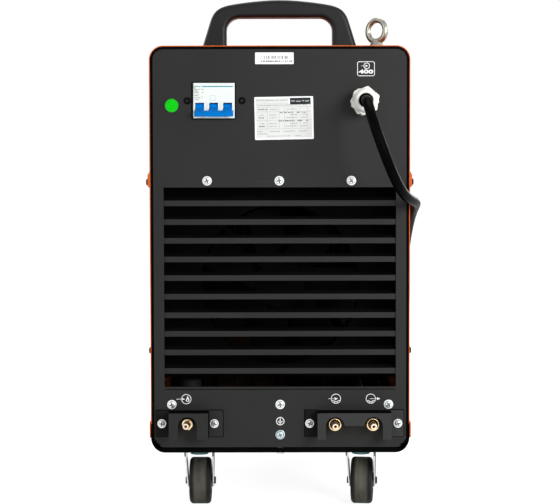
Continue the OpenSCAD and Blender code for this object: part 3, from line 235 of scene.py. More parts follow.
M = {
    "panel": finish("powder_grey", (0.0160, 0.0160, 0.0156), (0.0132, 0.0132, 0.0128), 7, (0.42, 0.54),
        POWDER_GRAIN, waves=(9, 0.25, 0.0006), specular=0.18, specks=((0.045, 0.043, 0.040), 900, 0.74)),
    # a lighter copy of the panel grey: painted highlight on the water guard's face
    "guard": finish("powder_grey_painted_light", (0.027, 0.0278, 0.0275), (0.023, 0.0236, 0.0234), 12, (0.42, 0.54),
        POWDER_GRAIN, specular=0.2, specks=((0.055, 0.053, 0.050), 900, 0.76)),
    # a darker copy of the panel grey: painted shadow on the guards' left flanges
    "guard_painted_shadow": finish("powder_grey_painted_shadow", (0.0105, 0.0103, 0.0098), (0.0075, 0.0073, 0.0070), 50,
        (0.5, 0.62), POWDER_GRAIN, specular=0.06),
    "shade": finish("powder_shade", 0.0035, (0.006, 0.006, 0.0055), 9, (0.6, 0.75), BLACK_GRAIN,
        specular=0.0),
    "cover": finish("powder_orange", (0.64, 0.115, 0.018), (0.60, 0.105, 0.016), 2, (0.36, 0.48),
        (1100, 0.4, 0.00010), waves=(7, 0.2, 0.0006), specular=0.18),
    "pan": finish("powder_black", 0.0020, (0.004, 0.004, 0.0036), 9, (0.55, 0.7), BLACK_GRAIN,
        specular=0.0),
    "zinc": finish("zinc_plate", (0.80, 0.82, 0.80), (0.70, 0.73, 0.73), 60, (0.30, 0.45), ZINC_GRAIN,
        metallic=0.9, specks=((0.50, 0.48, 0.42), 300, 0.72)),
    # darker zinc for spring washers and cross recesses: painted shade
    "zinc_painted_shade": finish("zinc_washer_painted_shade", (0.13, 0.13, 0.12), (0.20, 0.20, 0.19), 90, (0.4, 0.6),
        (900, 0.4, 0.00006), metallic=0.6),
    "bolt": finish("zinc_bolt", (0.44, 0.43, 0.37), (0.30, 0.29, 0.25), 90, (0.22, 0.38),
        (500, 0.4, 0.00010), metallic=1.0, specks=((0.18, 0.155, 0.11), 260, 0.66)),
    "earth": finish("zinc_blue", (0.58, 0.67, 0.72), (0.48, 0.57, 0.63), 90, (0.26, 0.40), ZINC_GRAIN,
        metallic=0.9),
    "black_screw": finish("black_oxide", 0.0015, 0.003, 120, (0.35, 0.5), FINE_GRAIN, specular=0.03),
    "handle": finish("moulded_handle", (0.0075, 0.0076, 0.0079), (0.006, 0.006, 0.0063), 10, (0.38, 0.50),
        (1300, 0.55, 0.00012), waves=(14, 0.15, 0.0005), specular=0.20),
    "control": finish("moulded_black", (0.016, 0.016, 0.017), 0.021, 18, (0.38, 0.5), (1600, 0.5, 0.00010)),
    "knob": finish("knob_black", (0.012, 0.012, 0.013), 0.016, 50, (0.30, 0.42), (1800, 0.3, 0.00006),
        coat=0.1),
    "red": finish("rocker_red", (0.48, 0.012, 0.010), (0.40, 0.010, 0.008), 60, (0.2, 0.32), FILM_GRAIN,
        coat=0.3),
    "white": finish("breaker_white", (0.85, 0.90, 0.865), (0.83, 0.88, 0.845), 40, (0.28, 0.40),
        (1500, 0.3, 0.00006)),
    "pale_print": finish("pale_print", (0.34, 0.37, 0.35), (0.44, 0.46, 0.44), 300, (0.4, 0.5), INK_GRAIN),
    "slate": finish("field_slate", (0.010, 0.013, 0.016), (0.016, 0.020, 0.024), 200, (0.4, 0.5), INK_GRAIN,
        specular=0.2),
    "grey_print": finish("print_grey", (0.30, 0.32, 0.31), (0.40, 0.42, 0.41), 300, (0.4, 0.5), INK_GRAIN),
    "teal": finish("print_teal", (0.045, 0.30, 0.33), (0.06, 0.36, 0.40), 200, (0.35, 0.45), INK_GRAIN),
    "blue": finish("lever_blue", (0.0008, 0.215, 0.70), (0.0006, 0.18, 0.60), 60, (0.30, 0.42),
        (1400, 0.25, 0.00006), specular=0.03),
    "nylon": finish("nylon_white", (0.97, 0.965, 0.92), (0.94, 0.93, 0.86), 45, (0.36, 0.5),
        (700, 0.3, 0.00012)),
    "cord": finish("cord_rubber", (0.0016, 0.0017, 0.0019), 0.003, 35, (0.26, 0.38), (700, 0.35, 0.00010),
        waves=(40, 0.2, 0.0005), specular=0.007, specks=((0.03, 0.028, 0.025), 420, 0.78)),
    "brass": finish("brass", (0.97, 0.80, 0.50), (0.90, 0.70, 0.38), 80, (0.18, 0.34), FINE_GRAIN,
        metallic=1.0, specks=((0.46, 0.31, 0.14), 400, 0.72)),
    "copper": finish("brass_rosy", (0.88, 0.71, 0.57), (0.78, 0.62, 0.50), 120, (0.26, 0.40), FINE_GRAIN,
        metallic=1.0),
    "print": finish("print_white", (0.92, 0.93, 0.92), (0.86, 0.87, 0.86), 300, (0.45, 0.6),
        (1500, 0.2, 0.00003)),
    "tie": finish("strap_black", 0.014, (0.024, 0.024, 0.023), 400, (0.7, 0.85), (1600, 0.9, 0.0003),
        sheen=0.3),
    "green": finish("sticker_green", (0.004, 0.585, 0.006), (0.008, 0.63, 0.012), 160, (0.3, 0.42),
        STICKER_GRAIN, specular=0.05),
    "green_dark": finish("sticker_green_dark", (0.012, 0.36, 0.016), (0.02, 0.40, 0.03), 160, (0.3, 0.42),
        STICKER_GRAIN),
    "label": finish("label_white", (0.96, 0.965, 0.95), (0.93, 0.935, 0.92), 60, (0.4, 0.52),
        (900, 0.12, 0.00003)),
    "ink": finish("label_ink", (0.06, 0.06, 0.065), 0.10, 500, (0.5, 0.6), INK_GRAIN),
    "plate": finish("plate_film", (0.97, 0.975, 0.97), (0.94, 0.945, 0.94), 25, (0.34, 0.46), FILM_GRAIN),
    "field": finish("plate_field", (0.76, 0.775, 0.755), (0.72, 0.735, 0.715), 40, (0.34, 0.46),
        FILM_GRAIN),
    "tyre": finish("tyre_rubber", (0.062, 0.059, 0.048), (0.118, 0.112, 0.088), 70, (0.72, 0.9),
        (500, 0.9, 0.0005), stretch=(1, 0.35, 0.35), specks=((0.12, 0.112, 0.090), 420, 0.66),
        specular=0.2),
    # darker rubber: painted shade on the tyres' shoulders, and painted glint in the black screws' recesses
    "painted_shade_and_glint": finish("painted_shade_and_glint", (0.026, 0.025, 0.020), (0.050, 0.047, 0.038), 70, (0.7, 0.9),
        (500, 0.9, 0.0004), stretch=(1, 0.35, 0.35), specular=0.2),
    # the darkest rubber: painted shade on the tyres' sides
    "tyre_painted_shade": finish("tyre_painted_shade", (0.006, 0.006, 0.005), (0.014, 0.013, 0.011), 60, (0.6, 0.8),
        (500, 0.7, 0.0003), specular=0.15),
    "hub": finish("hub_plastic", 0.016, (0.030, 0.028, 0.025), 70, (0.42, 0.58), MOULDED_GRAIN,
        specks=((0.10, 0.09, 0.07), 300, 0.68)),
    "fork": finish("zinc_fork", (0.84, 0.88, 0.90), (0.76, 0.80, 0.82), 50, (0.26, 0.42), PLATED_GRAIN,
        metallic=0.85, specks=((0.46, 0.45, 0.42), 240, 0.72)),
    # dark zinc: painted shade on the forks' rims, and the forks' bolt heads
    "fork_shade_and_bolt": finish("zinc_painted_shade_and_bolt", (0.012, 0.020, 0.022), (0.022, 0.032, 0.034), 50, (0.4, 0.55),
        PLATED_GRAIN, metallic=0.2, specular=0.1),
    # darker teal zinc: painted shade on the swivel races and the forks' crowns
    "race": finish("zinc_race_painted_shade", (0.10, 0.20, 0.21), (0.06, 0.12, 0.13), 50, (0.3, 0.45), PLATED_GRAIN,
        metallic=0.5, specular=0.2),
    "fan": finish("fan_black", 0.0022, 0.0038, 20, (0.7, 0.85), MOULDED_GRAIN, specular=0.02),
    "sheet": finish("frame_black", 0.006, 0.009, 45, (0.55, 0.7), (900, 0.3, 0.0001), specular=0.1),
    "sink": finish("anodised_black", (0.007, 0.007, 0.0075), (0.010, 0.010, 0.011), 30, (0.5, 0.65),
        FINE_GRAIN, stretch=(1, 0.05, 1), specular=0.1),
    "module": finish("module_black", 0.008, 0.00688, 30, (0.6, 0.7), (1000, 0.4, 0.0001), specular=0.1),
    "winding": finish("varnished_winding", (0.030, 0.014, 0.007), (0.020, 0.010, 0.005), 25, (0.5, 0.65),
        (90, 0.8, 0.0008), stretch=(1, 1, 12), specular=0.1),
    "board": finish("board_green", (0.003, 0.020, 0.007), (0.004, 0.026, 0.009), 60, (0.5, 0.65),
        (500, 0.3, 0.0001), specular=0.1),
    "valve": finish("cast_valve", (0.020, 0.020, 0.021), (0.015, 0.015, 0.016), 40, (0.5, 0.65),
        (400, 0.5, 0.0002), specular=0.1),
    "hose": finish("hose_blue", (0.003, 0.007, 0.030), (0.003, 0.009, 0.036), 40, (0.5, 0.6),
        (700, 0.3, 0.0001), specular=0.1),
    "core_blue": finish("core_blue", (0.012, 0.06, 0.34), (0.01032, 0.0516, 0.2924), 90, (0.35, 0.45),
        SLEEVE_GRAIN),
    "core_brown": finish("core_brown", (0.12, 0.045, 0.015), (0.1032, 0.0387, 0.0129), 90, (0.35, 0.45),
        SLEEVE_GRAIN),
    "core_green": finish("core_green_yellow", (0.42, 0.50, 0.02), (0.02, 0.22, 0.03), 26, (0.35, 0.45),
        SLEEVE_GRAIN, stretch=(1, 6, 1)),
    "core_black": finish("core_black", 0.014, 0.01204, 90, (0.35, 0.45), SLEEVE_GRAIN),
    "lamp_green": finish("lamp_green", (0.02, 0.32, 0.06), (0.03, 0.38, 0.08), 120, (0.12, 0.2), None,
        coat=0.5),
    "lamp_red": finish("lamp_red", (0.45, 0.02, 0.015), (0.5, 0.03, 0.02), 120, (0.12, 0.2), None,
        coat=0.5),
    "lamp_amber": finish("lamp_amber", (0.62, 0.24, 0.02), (0.66, 0.28, 0.03), 120, (0.12, 0.2), None,
        coat=0.5),
    "window": finish("tinted_window", (0.030, 0.006, 0.006), (0.040, 0.008, 0.008), 30, (0.06, 0.14),
        (900, 0.05, 0.00002), coat=0.6),
    "segment": finish("display_segment", (0.16, 0.014, 0.010), (0.13, 0.012, 0.010), 80, (0.2, 0.3), None,
        coat=0.3),
}


# ---------------- mesh helpers (millimetres)

shift = Matrix.Translation


def spin(degrees, axis):
    return Matrix.Rotation(radians(degrees), 4, axis)


ORIGIN = (0, 0, 0)
UP, DOWN, REARWARD, FORWARD, ACROSS = (0, 0, 1), (0, 0, -1), (0, -1, 0), (0, 1, 0), (1, 0, 0)


class Shape:
    """Vertices and faces in millimetres, each face with a material number."""

    def __init__(self):
        self.verts, self.faces, self.mats = [], [], []

    def add(self, verts, faces, mat=0):
        """Adds faces over new points; mat is one material number, or a list of them."""
        base = len(self.verts)
        self.verts += [tuple(v) for v in verts]
        self.faces += [tuple(base + i for i in f) for f in faces]
        self.mats += mat if isinstance(mat, list) else [mat] * len(faces)
        return self

    def lathe(self, profile, at, out=REARWARD, n=48, mat=0, turn=0.0, capped=True):
        """Turns (radius, height) pairs about an axis. A radius may be a function of the angle in degrees."""
        axis = Vector(out)
        side = axis.cross(Vector(UP))
        side = side if side.length > 0.1 else Vector(ACROSS)
        up = side.cross(axis)
        at = Vector(at)
        verts, faces = [], []
        for radius, h in profile:
            for k in range(n):
                a = 2 * pi * k / n + radians(turn)
                r = radius(360 * k / n) if callable(radius) else radius
                verts.append(at + axis * h + r * (side * cos(a) + up * sin(a)))
        for i in range(len(profile) - 1):
            for k in range(n):
                a, b = i * n + k, i * n + (k + 1) % n
                faces.append((a, b, b + n, a + n))
        for i, first in ((0, True), (len(profile) - 1, False)):
            if capped and profile[i][0] > 1e-6:
                ring = tuple(i * n + k for k in range(n))
                faces.append(ring[::-1] if first else ring)
        return self.add(verts, faces, mat)

    def drum(self, r, lo, hi, at, out=REARWARD, n=48, mat=0):
        """A plain cylinder; six sides make a hexagon."""
        return self.lathe([(0, lo), (r, lo), (r, hi), (0, hi)], at, out, n, mat)

    def box(self, lo, hi, mat=0):
        x0, y0, z0 = lo
        x1, y1, z1 = hi
        v = [(x, y, z) for z in (z0, z1) for y in (y0, y1) for x in (x0, x1)]
        f = [(0, 2, 3, 1), (4, 5, 7, 6), (0, 1, 5, 4), (2, 6, 7, 3), (0, 4, 6, 2), (1, 3, 7, 5)]
        return self.add(v, f, mat)

    def prism(self, outline, lo, hi, axis="y", mat=0):
        """An outline of (x, z) pulled along y, or of (x, y) pulled along z."""
        n = len(outline)
        v = [(a, t, b) if axis == "y" else (a, b, t) for t in (lo, hi) for a, b in outline]
        f = [tuple(range(n)), tuple(range(2 * n - 1, n - 1, -1))]
        f += [(i, i + n, (i + 1) % n + n, (i + 1) % n) for i in range(n)]
        return self.add(v, f, mat)

    def band(self, outer, inner, lo, hi):
        """A closed band between two outlines with the same number of points, pulled along y."""
        n = len(outer)
        v = [(x, y, z) for y in (lo, hi) for x, z in outer + inner]
        f = []
        for i in range(n):
            j = (i + 1) % n
            f += [(i, j, n + j, n + i), (2 * n + j, 2 * n + i, 3 * n + i, 3 * n + j),
                  (j, i, 2 * n + i, 2 * n + j), (n + i, n + j, 3 * n + j, 3 * n + i)]
        return self.add(v, f)

    def hoop(self, points, radii, n=24):
        """A round tube along an upright closed line that starts upwards, with a radius for each point."""
        count = len(points)
        side = Vector(FORWARD)
        verts, faces = [], []
        for i, (point, r) in enumerate(zip(points, radii)):
            h = (points[(i + 1) % count] - points[i - 1]).normalized()
            side = (side - h * side.dot(h)).normalized()
            up = side.cross(h)
            for k in range(n):
                a = 2 * pi * k / n
                verts.append(point + r * (side * cos(a) + up * sin(a)))
                b, c, d = i * n + k, i * n + (k + 1) % n, (i + 1) % count * n
                faces.append((b, c, d + (k + 1) % n, d + k))
        return self.add(verts, faces)

    def welded(self, scale, gap):
        """The shape as a closed mesh, with points nearer than a gap made one."""
        bm = bmesh.new()
        verts = [bm.verts.new(Vector(v) * scale) for v in self.verts]
        for f, m in zip(self.faces, self.mats):
            bm.faces.new([verts[i] for i in f]).material_index = m
        bmesh.ops.remove_doubles(bm, verts=bm.verts, dist=gap)
        bmesh.ops.recalc_face_normals(bm, faces=bm.faces)
        return bm

    def move(self, matrix):
        self.verts = [tuple(matrix @ Vector(v)) for v in self.verts]
        return self

    def join(self, other, matrix=Matrix()):
        return self.add([matrix @ Vector(v) for v in other.verts], other.faces, other.mats)


def place(name, bm, mats, slot, replaces=(), body="machine", bevel=0.0, segments=2, angle=32, limit=30,
          rim=-1):
    """Makes the piece from a mesh in metres, gives it its rounding, and puts it on its body.
    Without a bevel, edges sharper than an angle stay crisp; rim is the material of the rounding."""
    mesh = bpy.data.meshes.new(name)
    if not bevel:
        for e in bm.edges:
            e.smooth = len(e.link_faces) == 2 and e.calc_face_angle(0) <= radians(angle)
    for f in bm.faces:
        f.smooth = f.calc_area() <= LARGE_FACE
    bm.to_mesh(mesh)
    bm.free()
    piece = show(name, mesh)
    for m in mats:
        mesh.materials.append(M[m])
    if bevel:
        mod = piece.modifiers.new("rounding", "BEVEL")
        mod.width = bevel * MM
        mod.segments = segments
        mod.limit_method = "ANGLE"
        mod.angle_limit = radians(limit)
        mod.harden_normals = True
        mod.use_clamp_overlap = True
        mod.material = rim
    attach(piece, body)
    if replaces:
        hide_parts(*replaces)
    return piece


def put(name, shape, mats, slot, replaces=(), body="machine", **rounding):
    """A shape as a piece."""
    return place(name, shape.welded(MM, 1e-6), mats, slot, replaces, body, **rounding)


def fine(node, shape, mats, slot, body="machine", **rounding):
    """The shape that stands for a CAD node of that name."""
    return put(node + "_fine", shape, mats, slot, (node,), body, **rounding)


def clean_copy(node):
    """A CAD node's shape in large faces."""
    bm = bmesh.new()
    bm.from_mesh(NODES[node].data)
    bmesh.ops.remove_doubles(bm, verts=bm.verts, dist=2e-6)
    bmesh.ops.dissolve_limit(bm, angle_limit=radians(0.6), verts=bm.verts, edges=bm.edges)
    for f in bm.faces:
        f.material_index = 0
    bmesh.ops.recalc_face_normals(bm, faces=bm.faces)
    return bm


def soften(name, node, mat, slot, body="machine", bevel=0.6, segments=2, limit=30):
    """The CAD node's own shape with its edges rounded."""
    return place(name, clean_copy(node), [mat], slot, (node,), body, bevel=bevel, segments=segments,
                 limit=limit)


def arc(cx, cy, r, a0, a1, n=8):
    return [(cx + r * cos(radians(a0 + (a1 - a0) * i / n)),
             cy + r * sin(radians(a0 + (a1 - a0) * i / n))) for i in range(n + 1)]


def round_outline(cx, cz, w, h, r, n=6):
    x, z = w / 2 - r, h / 2 - r
    return (arc(cx + x, cz + z, r, 0, 90, n) + arc(cx - x, cz + z, r, 90, 180, n)
            + arc(cx - x, cz - z, r, 180, 270, n) + arc(cx + x, cz - z, r, 270, 360, n))


def ring_outline(cx, cz, r, n=32):
    return arc(cx, cz, r, 0, 360, n)[:-1]


def read_mesh(thing):
    """The mesh of an object with its modifiers."""
    bpy.context.view_layer.update()
    return thing.evaluated_get(bpy.context.evaluated_depsgraph_get()).to_mesh()


def cut(shape, tool):
    """shape less tool, as a new Shape"""
    made = []
    for s in (shape, tool):
        mesh = bpy.data.meshes.new("cut")
        bm = s.welded(1, 1e-4)
        bm.to_mesh(mesh)
        bm.free()
        # one slot for each material number
        for mat in range(max(tool.mats) + 1):
            mesh.materials.append(None)
        made.append(show("cut", mesh))
    mod = made[0].modifiers.new("cut", "BOOLEAN")
    mod.operation = "DIFFERENCE"
    mod.solver = "EXACT"
    mod.object = made[1]
    result = read_mesh(made[0])
    out = Shape().add([v.co for v in result.vertices], [p.vertices for p in result.polygons],
                      [p.material_index for p in result.polygons])
    for thing in made:
        bpy.data.objects.remove(thing)
    return out


def facing(x, y, z, out, turn=0.0):
    """A matrix that takes local +Z to a direction, at a place."""
    aimed = Vector(out).to_track_quat("Z", "Y").to_matrix().to_4x4()
    return shift((x, y, z)) @ aimed @ spin(turn, "Z")


# ---------------- fasteners

def cross_head(r, h, recess):
    """A pan head with a cross recess, standing on z = 0."""
    dome = [(r, 0), (r, h * 0.5), (r * 0.94, h * 0.72), (r * 0.8, h * 0.88), (r * 0.5, h * 0.98), (0, h)]
    head = Shape().lathe([(0, 0)] + dome, ORIGIN, UP, n=40)
    w, l = recess * 0.15, recess * 0.5
    plus = [(w, w), (l, w), (l, -w), (w, -w), (w, -l), (-w, -l), (-w, -w), (-l, -w), (-l, w), (-w, w),
            (-w, l), (w, l)]
    tool = Shape().prism(plus, h * 0.2, h * 1.3, "z", mat=1)
    return cut(head, tool)


def washered_screw(washer_r, head_r):
    """A plain washer, a spring washer and a cross-recess head, standing on z = 0; the spring washer and the
    recess take material 1, for painted shade.
    """
    s = Shape()
    s.lathe([(0, 0), (washer_r - 0.15, 0), (washer_r, 0.2), (washer_r, 0.75), (washer_r - 0.25, 0.95),
             (0, 0.95)], ORIGIN, UP)
    s.lathe([(0, 0.9), (head_r + 0.25, 0.9), (head_r + 0.35, 1.1), (head_r + 0.35, 1.7), (head_r + 0.2, 1.9),
             (0, 1.9)], ORIGIN, UP, n=40, mat=1)
    s.join(cross_head(head_r, 2.3, head_r * 1.5), shift((0, 0, 1.85)))
    return s


UPPER_ROW_Z, LOWER_ROW_Z, GUARD_ROW_Z = 439.5, 149.5, 125.0
GUARD_T = 2.0
HANDLE_SCREW_X, HANDLE_IN = 85.75, 72


def rear_screws(rng):
    """The washered screws of the rear panel and its guards, turned at random."""
    wide, small = washered_screw(6.1, 4.1), washered_screw(5.7, 3.9)
    s = Shape()
    rows = [(wide, 0, UPPER_ROW_Z, (-93.7, -0.7, 92.3)), (wide, 0, LOWER_ROW_Z, (-140.5, 0, 140.5)),
            (small, GUARD_T, GUARD_ROW_Z, (-153.5, -85.5, 38.2, 152.6))]
    for screw, out, z, places in rows:
        for x in places:
            s.join(screw, facing(x, REAR - out, z, REARWARD, rng.uniform(0, 90)))
    # the bolt under the pan, with its spacer and its nut inside
    at = (0, REAR + 11, 88)
    s.lathe([(0, -4.6), (4.0, -4.6), (4.5, -4.2), (4.6, -0.4), (4.6, 0), (2.4, 0), (2.4, 16), (0, 16)], at,
            UP, n=6)
    s.drum(4.5, 2, 5.6, at, UP, n=24)
    s.drum(4.6, 7.6, 11.6, at, UP, n=6)
    # the spring washers and cross recesses take darker zinc: painted shade
    fine("panel_screws", s, ["zinc", "zinc_painted_shade"], "zinc", angle=28)


def earth_screw():
    """A hexagon with a cross recess, on two washers; the second washer and the recess are darker zinc,
    painted shade.
    """
    at = (0, REAR, middle("earth_screw").z)
    s = Shape()
    s.lathe([(0, 0), (5.8, 0), (6.0, 0.2), (6.0, 0.9), (5.7, 1.0), (0, 1.0)], at)
    s.drum(5.1, 1.0, 1.8, at, n=40, mat=1)
    s.lathe([(0, 1.8), (4.9, 1.8), (4.9, 3.8), (4.4, 4.2), (0, 4.2)], at, n=6, turn=14)
    s.join(cross_head(3.7, 0.9, 5.2), facing(0, REAR - 4.1, at[2], REARWARD, 20))
    fine("earth_screw", s, ["earth", "zinc_painted_shade"], "zinc", angle=28)


def cover_screws(rng):
    """The black screws: along the cover's sides, by the breaker, and under the handle."""
    s = Shape()
    head = cross_head(4.2, 2.8, 4.6)
    low_row, high_row, swage_out, in_from_end = 219, 438, 2.6, 12
    for side in (-1, 1):
        for z in (low_row, high_row):
            for y in (REAR + in_from_end, FRONT - in_from_end):
                out = HALF_W + swage_out if z == high_row and y < 0 else HALF_W
                s.join(head, facing(side * out, y, z, (side, 0, 0), rng.uniform(0, 90)))
    breaker_mid = middle("breaker_body")
    small, right, apart = cross_head(4.6, 2.2, 4.8), 1.3, 70.4
    for side in (-1, 1):
        x = breaker_mid.x + right + side * apart / 2
        s.join(small, facing(x, REAR, breaker_mid.z, REARWARD, rng.uniform(0, 90)))
        # the handle's screws come from below
        s.drum(6, 0, 4, (side * HANDLE_SCREW_X, REAR + HANDLE_IN, Z1 - 1.5), DOWN, n=6)
    # the cross recesses take a lighter dark grey: painted glint on the black heads
    fine("cover_screws", s, ["black_screw", "painted_shade_and_glint"], "black_screw", angle=28)


# ---------------- case

def round_edges(bm, edges, width, segments):
    bmesh.ops.bevel(bm, geom=edges, offset=width * MM, segments=segments, profile=0.5, affect="EDGES",
                    clamp_overlap=True)


def panels():
    """The rear and front panels: a rounded fold all round in painted shade, and crisp cut edges."""
    fold, fold_steps, fade_start, fade_length = 2.4, 5, 3, 12
    for node, face, inward in (("rear_panel", REAR, 1), ("front_panel", FRONT, -1)):
        bm = clean_copy(node)
        low, high = corners(node)

        def near_edge(c, far):
            return abs(c.x) > high.x - far or c.z > high.z - far or c.z < low.z + far

        folds = [e for e in bm.edges if len(e.link_faces) == 2 and e.calc_face_angle(0) > 0.6
                 and all(abs(v.co.y / MM - face) < 0.05 and near_edge(v.co / MM, 9) for v in e.verts)]
        round_edges(bm, folds, fold, fold_steps)
        # the fold fades out towards the bottom edge, which is cut square
        for v in bm.verts:
            deep = inward * (v.co.y / MM - face)
            if 0 < deep < fold + 0.05 and near_edge(v.co / MM, fold + 0.5):
                kept = min(max((v.co.z / MM - low.z - fade_start) / fade_length, 0), 1)
                v.co.y = (face + inward * deep * kept) * MM
        bm.normal_update()
        # the fold's faces near the edge take painted shade
        for f in bm.faces:
            if abs(f.normal.y) < 0.99 and near_edge(f.calc_center_median() / MM, 6):
                f.material_index = 1
        place(node + "_fine", bm, ["panel", "shade"], "panel_paint", (node,), bevel=0.25, limit=40)


def cover():
    """The painted cover, and a strip of painted shade over the gap between its rear edge and the panel."""
    soften("cover_fine", "outer_cover", "cover", "cover_paint", bevel=0.45)
    corner, line, inset = 18.0, 1.5, 1.85
    bend_x, bend_z, rim_z = HALF_W - corner, Z1 - corner, Z1 - inset
    low = corners("outer_cover")[0]
    # a flat strip of painted shade along the cover's rear edge
    s = Print(low.y)
    s.bar(-bend_x, rim_z, bend_x, rim_z, line)
    for side, a0 in ((1, 0), (-1, 90)):
        rim_x = side * (HALF_W - inset)
        s.bar(rim_x, low.z, rim_x, bend_z, line)
        s.ring(side * bend_x, bend_z, corner - inset, line, a0=a0, a1=a0 + 90)
    put("cover_gap_painted_shade", s, ["shade"], "panel_paint")


def pan():
    """The floor pan, whose bottom edge hangs a little lower."""
    bm = clean_copy("base_pan")
    edge_band, drop, lowest = 12.0, 1.4, corners("base_pan")[0].z
    for v in bm.verts:
        up = v.co.z / MM - lowest
        if up < edge_band:
            v.co.z -= drop * (1 - up / edge_band) * MM
    place("pan_fine", bm, ["pan"], "pan_paint", ("base_pan",), bevel=0.5)


def louvre():
    """The louvre, whose blades take painted shade except for the fronts of their upright lips, and a painted
    shadow line under it.
    """
    bm = clean_copy("rear_louvre")
    lip_depth, shadow_line_half, shadow_line_z = 2.3, 149, 169.3
    # every blade face but the lips' fronts takes painted shade
    for f in bm.faces:
        if abs(f.normal.y) < 0.9 or f.calc_center_median().y / MM > REAR + lip_depth:
            f.material_index = 1
    place("louvre_fine", bm, ["panel", "shade"], "panel_paint", ("rear_louvre",), bevel=0.45)
    # a flat dark bar of painted shadow under the louvre
    s = Print(REAR)
    s.bar(-shadow_line_half, shadow_line_z, shadow_line_half, shadow_line_z, 1.1)
    put("louvre_shadow_line", s, ["shade"], "panel_paint")


def guards():
    """The hose guards: faces, the water guard's with a painted highlight; walls and cut edges in painted
    shade; the left flanges in painted shadow; and a top fold back to the panel, in painted shade.
    """
    shade_strips = Print(REAR)
    top_fold, gap = 1.6, 0.9
    # the water guard's face takes the lighter grey, a painted highlight
    for node, paint, left, right in (("air_guard", "panel", -143, -92.3),
                                     ("water_guard", "guard", 47.8, 142.8)):
        bm = clean_copy(node)
        for f in bm.faces:
            # walls and cut edges take painted shade; the flange left of the walls takes painted shadow
            if abs(f.normal.y) < 0.9:
                f.material_index = 1
            elif f.calc_center_median().x / MM < left:
                f.material_index = 2
        place(node + "_fine", bm, [paint, "shade", "guard_painted_shadow"], "panel_paint", (node,), bevel=0.5,
              segments=3)
        low, high = corners(node)
        shade_strips.box((left + GUARD_T, low.y + GUARD_T, high.z - top_fold), (right - GUARD_T, REAR, high.z))
        # painted shade in the gaps round the feet
        for start, end in ((low.x - gap, left), (right, high.x + gap)):
            for z in (low.z - gap / 2, high.z + gap / 2):
                shade_strips.bar(start, z, end, z, gap)
        for x in (low.x - gap / 2, high.x + gap / 2):
            shade_strips.bar(x, low.z, x, high.z, gap)
    put("guard_tops_painted_shade", shade_strips, ["shade"], "panel_paint")


def bezier(a, b, c, d, n=10):
    """The points of a cubic curve, without its first."""
    out = []
    for i in range(1, n + 1):
        t = i / n
        share = ((1 - t) ** 3, 3 * (1 - t) ** 2 * t, 3 * (1 - t) * t * t, t ** 3)
        out.append(tuple(sum(k * p[axis] for k, p in zip(share, (a, b, c, d))) for axis in (0, 1)))
    return out


def handle():
    """A moulded grip on two legs, with a slight camber on top."""
    low, high = corners("carry_handle")
    half, top = high.x, high.z - Z1
    knee = (half - 11.5, 37)
    outer = [(half, 0), knee] + bezier(knee, (half - 16, 50.5), (80, top - 9.5), (66, top - 6.6))
    outer += bezier(outer[-1], (50, top - 3.4), (20, top), (0, top), 6)
    grip_half, grip_top, grip_r = 69.7, 42, 17
    inner = [(grip_half, 0)] + arc(grip_half - grip_r, grip_top - grip_r, grip_r, 0, 90, 10) + [(0, grip_top)]
    right_side = [(x, Z1 + z) for x, z in outer]
    opening = [(x, Z1 + z) for x, z in inner]
    outline = right_side + [(-x, z) for x, z in right_side[-2::-1]]
    outline += [(-x, z) for x, z in opening] + opening[-2::-1]
    bm = Shape().prism(outline, low.y, high.y).welded(MM, 1e-6)
    # the rims of the front and back faces are rounded, but not the feet
    rims = [e for e in bm.edges if abs(e.verts[0].co.y - e.verts[1].co.y) < 1e-6
            and not all(abs(v.co.z / MM - Z1) < 0.01 for v in e.verts)]
    round_edges(bm, rims, 5.5, 6)
    place("handle_fine", bm, ["handle"], "handle_plastic", ("carry_handle",), angle=40)


def eyes():
    """Two lifting eyes on their collars, each with its shank and nut inside."""
    s = Shape()
    eye_x, eye_in, ring_r, bar_r, steps = HALF_W - 39.5, 60, 14, 4, 72
    turn = radians(-40)
    along = Vector((cos(turn), sin(turn), 0))
    for x, y in ((eye_x, REAR + eye_in), (-eye_x, FRONT - eye_in)):
        centre = Vector((x, y, Z1 + 6 + ring_r + bar_r))
        angles = [2 * pi * k / steps for k in range(steps)]
        ring = [centre + ring_r * (along * cos(a) + Vector(UP) * sin(a)) for a in angles]
        s.hoop(ring, [bar_r - 0.25 * sin(a) for a in angles])
        s.lathe([(0, 0), (9.6, 0), (10, 0.5), (10, 3.6), (9.6, 4.6), (8.9, 6.0), (8.2, 8.0), (7.0, 9.8),
                 (5.6, 11.5), (0, 11.5)], (x, y, Z1), UP)
        s.drum(7.5, 1.5, 10.4, (x, y, Z1), DOWN, n=6)
        s.lathe([(0, 10), (4, 10), (4, 17.5), (3.6, 18), (0, 18)], (x, y, Z1), DOWN, n=32)
    fine("lifting_eyes", s, ["bolt"], "zinc", angle=35)


# ---------------- printing and labels

INK_T = 0.05


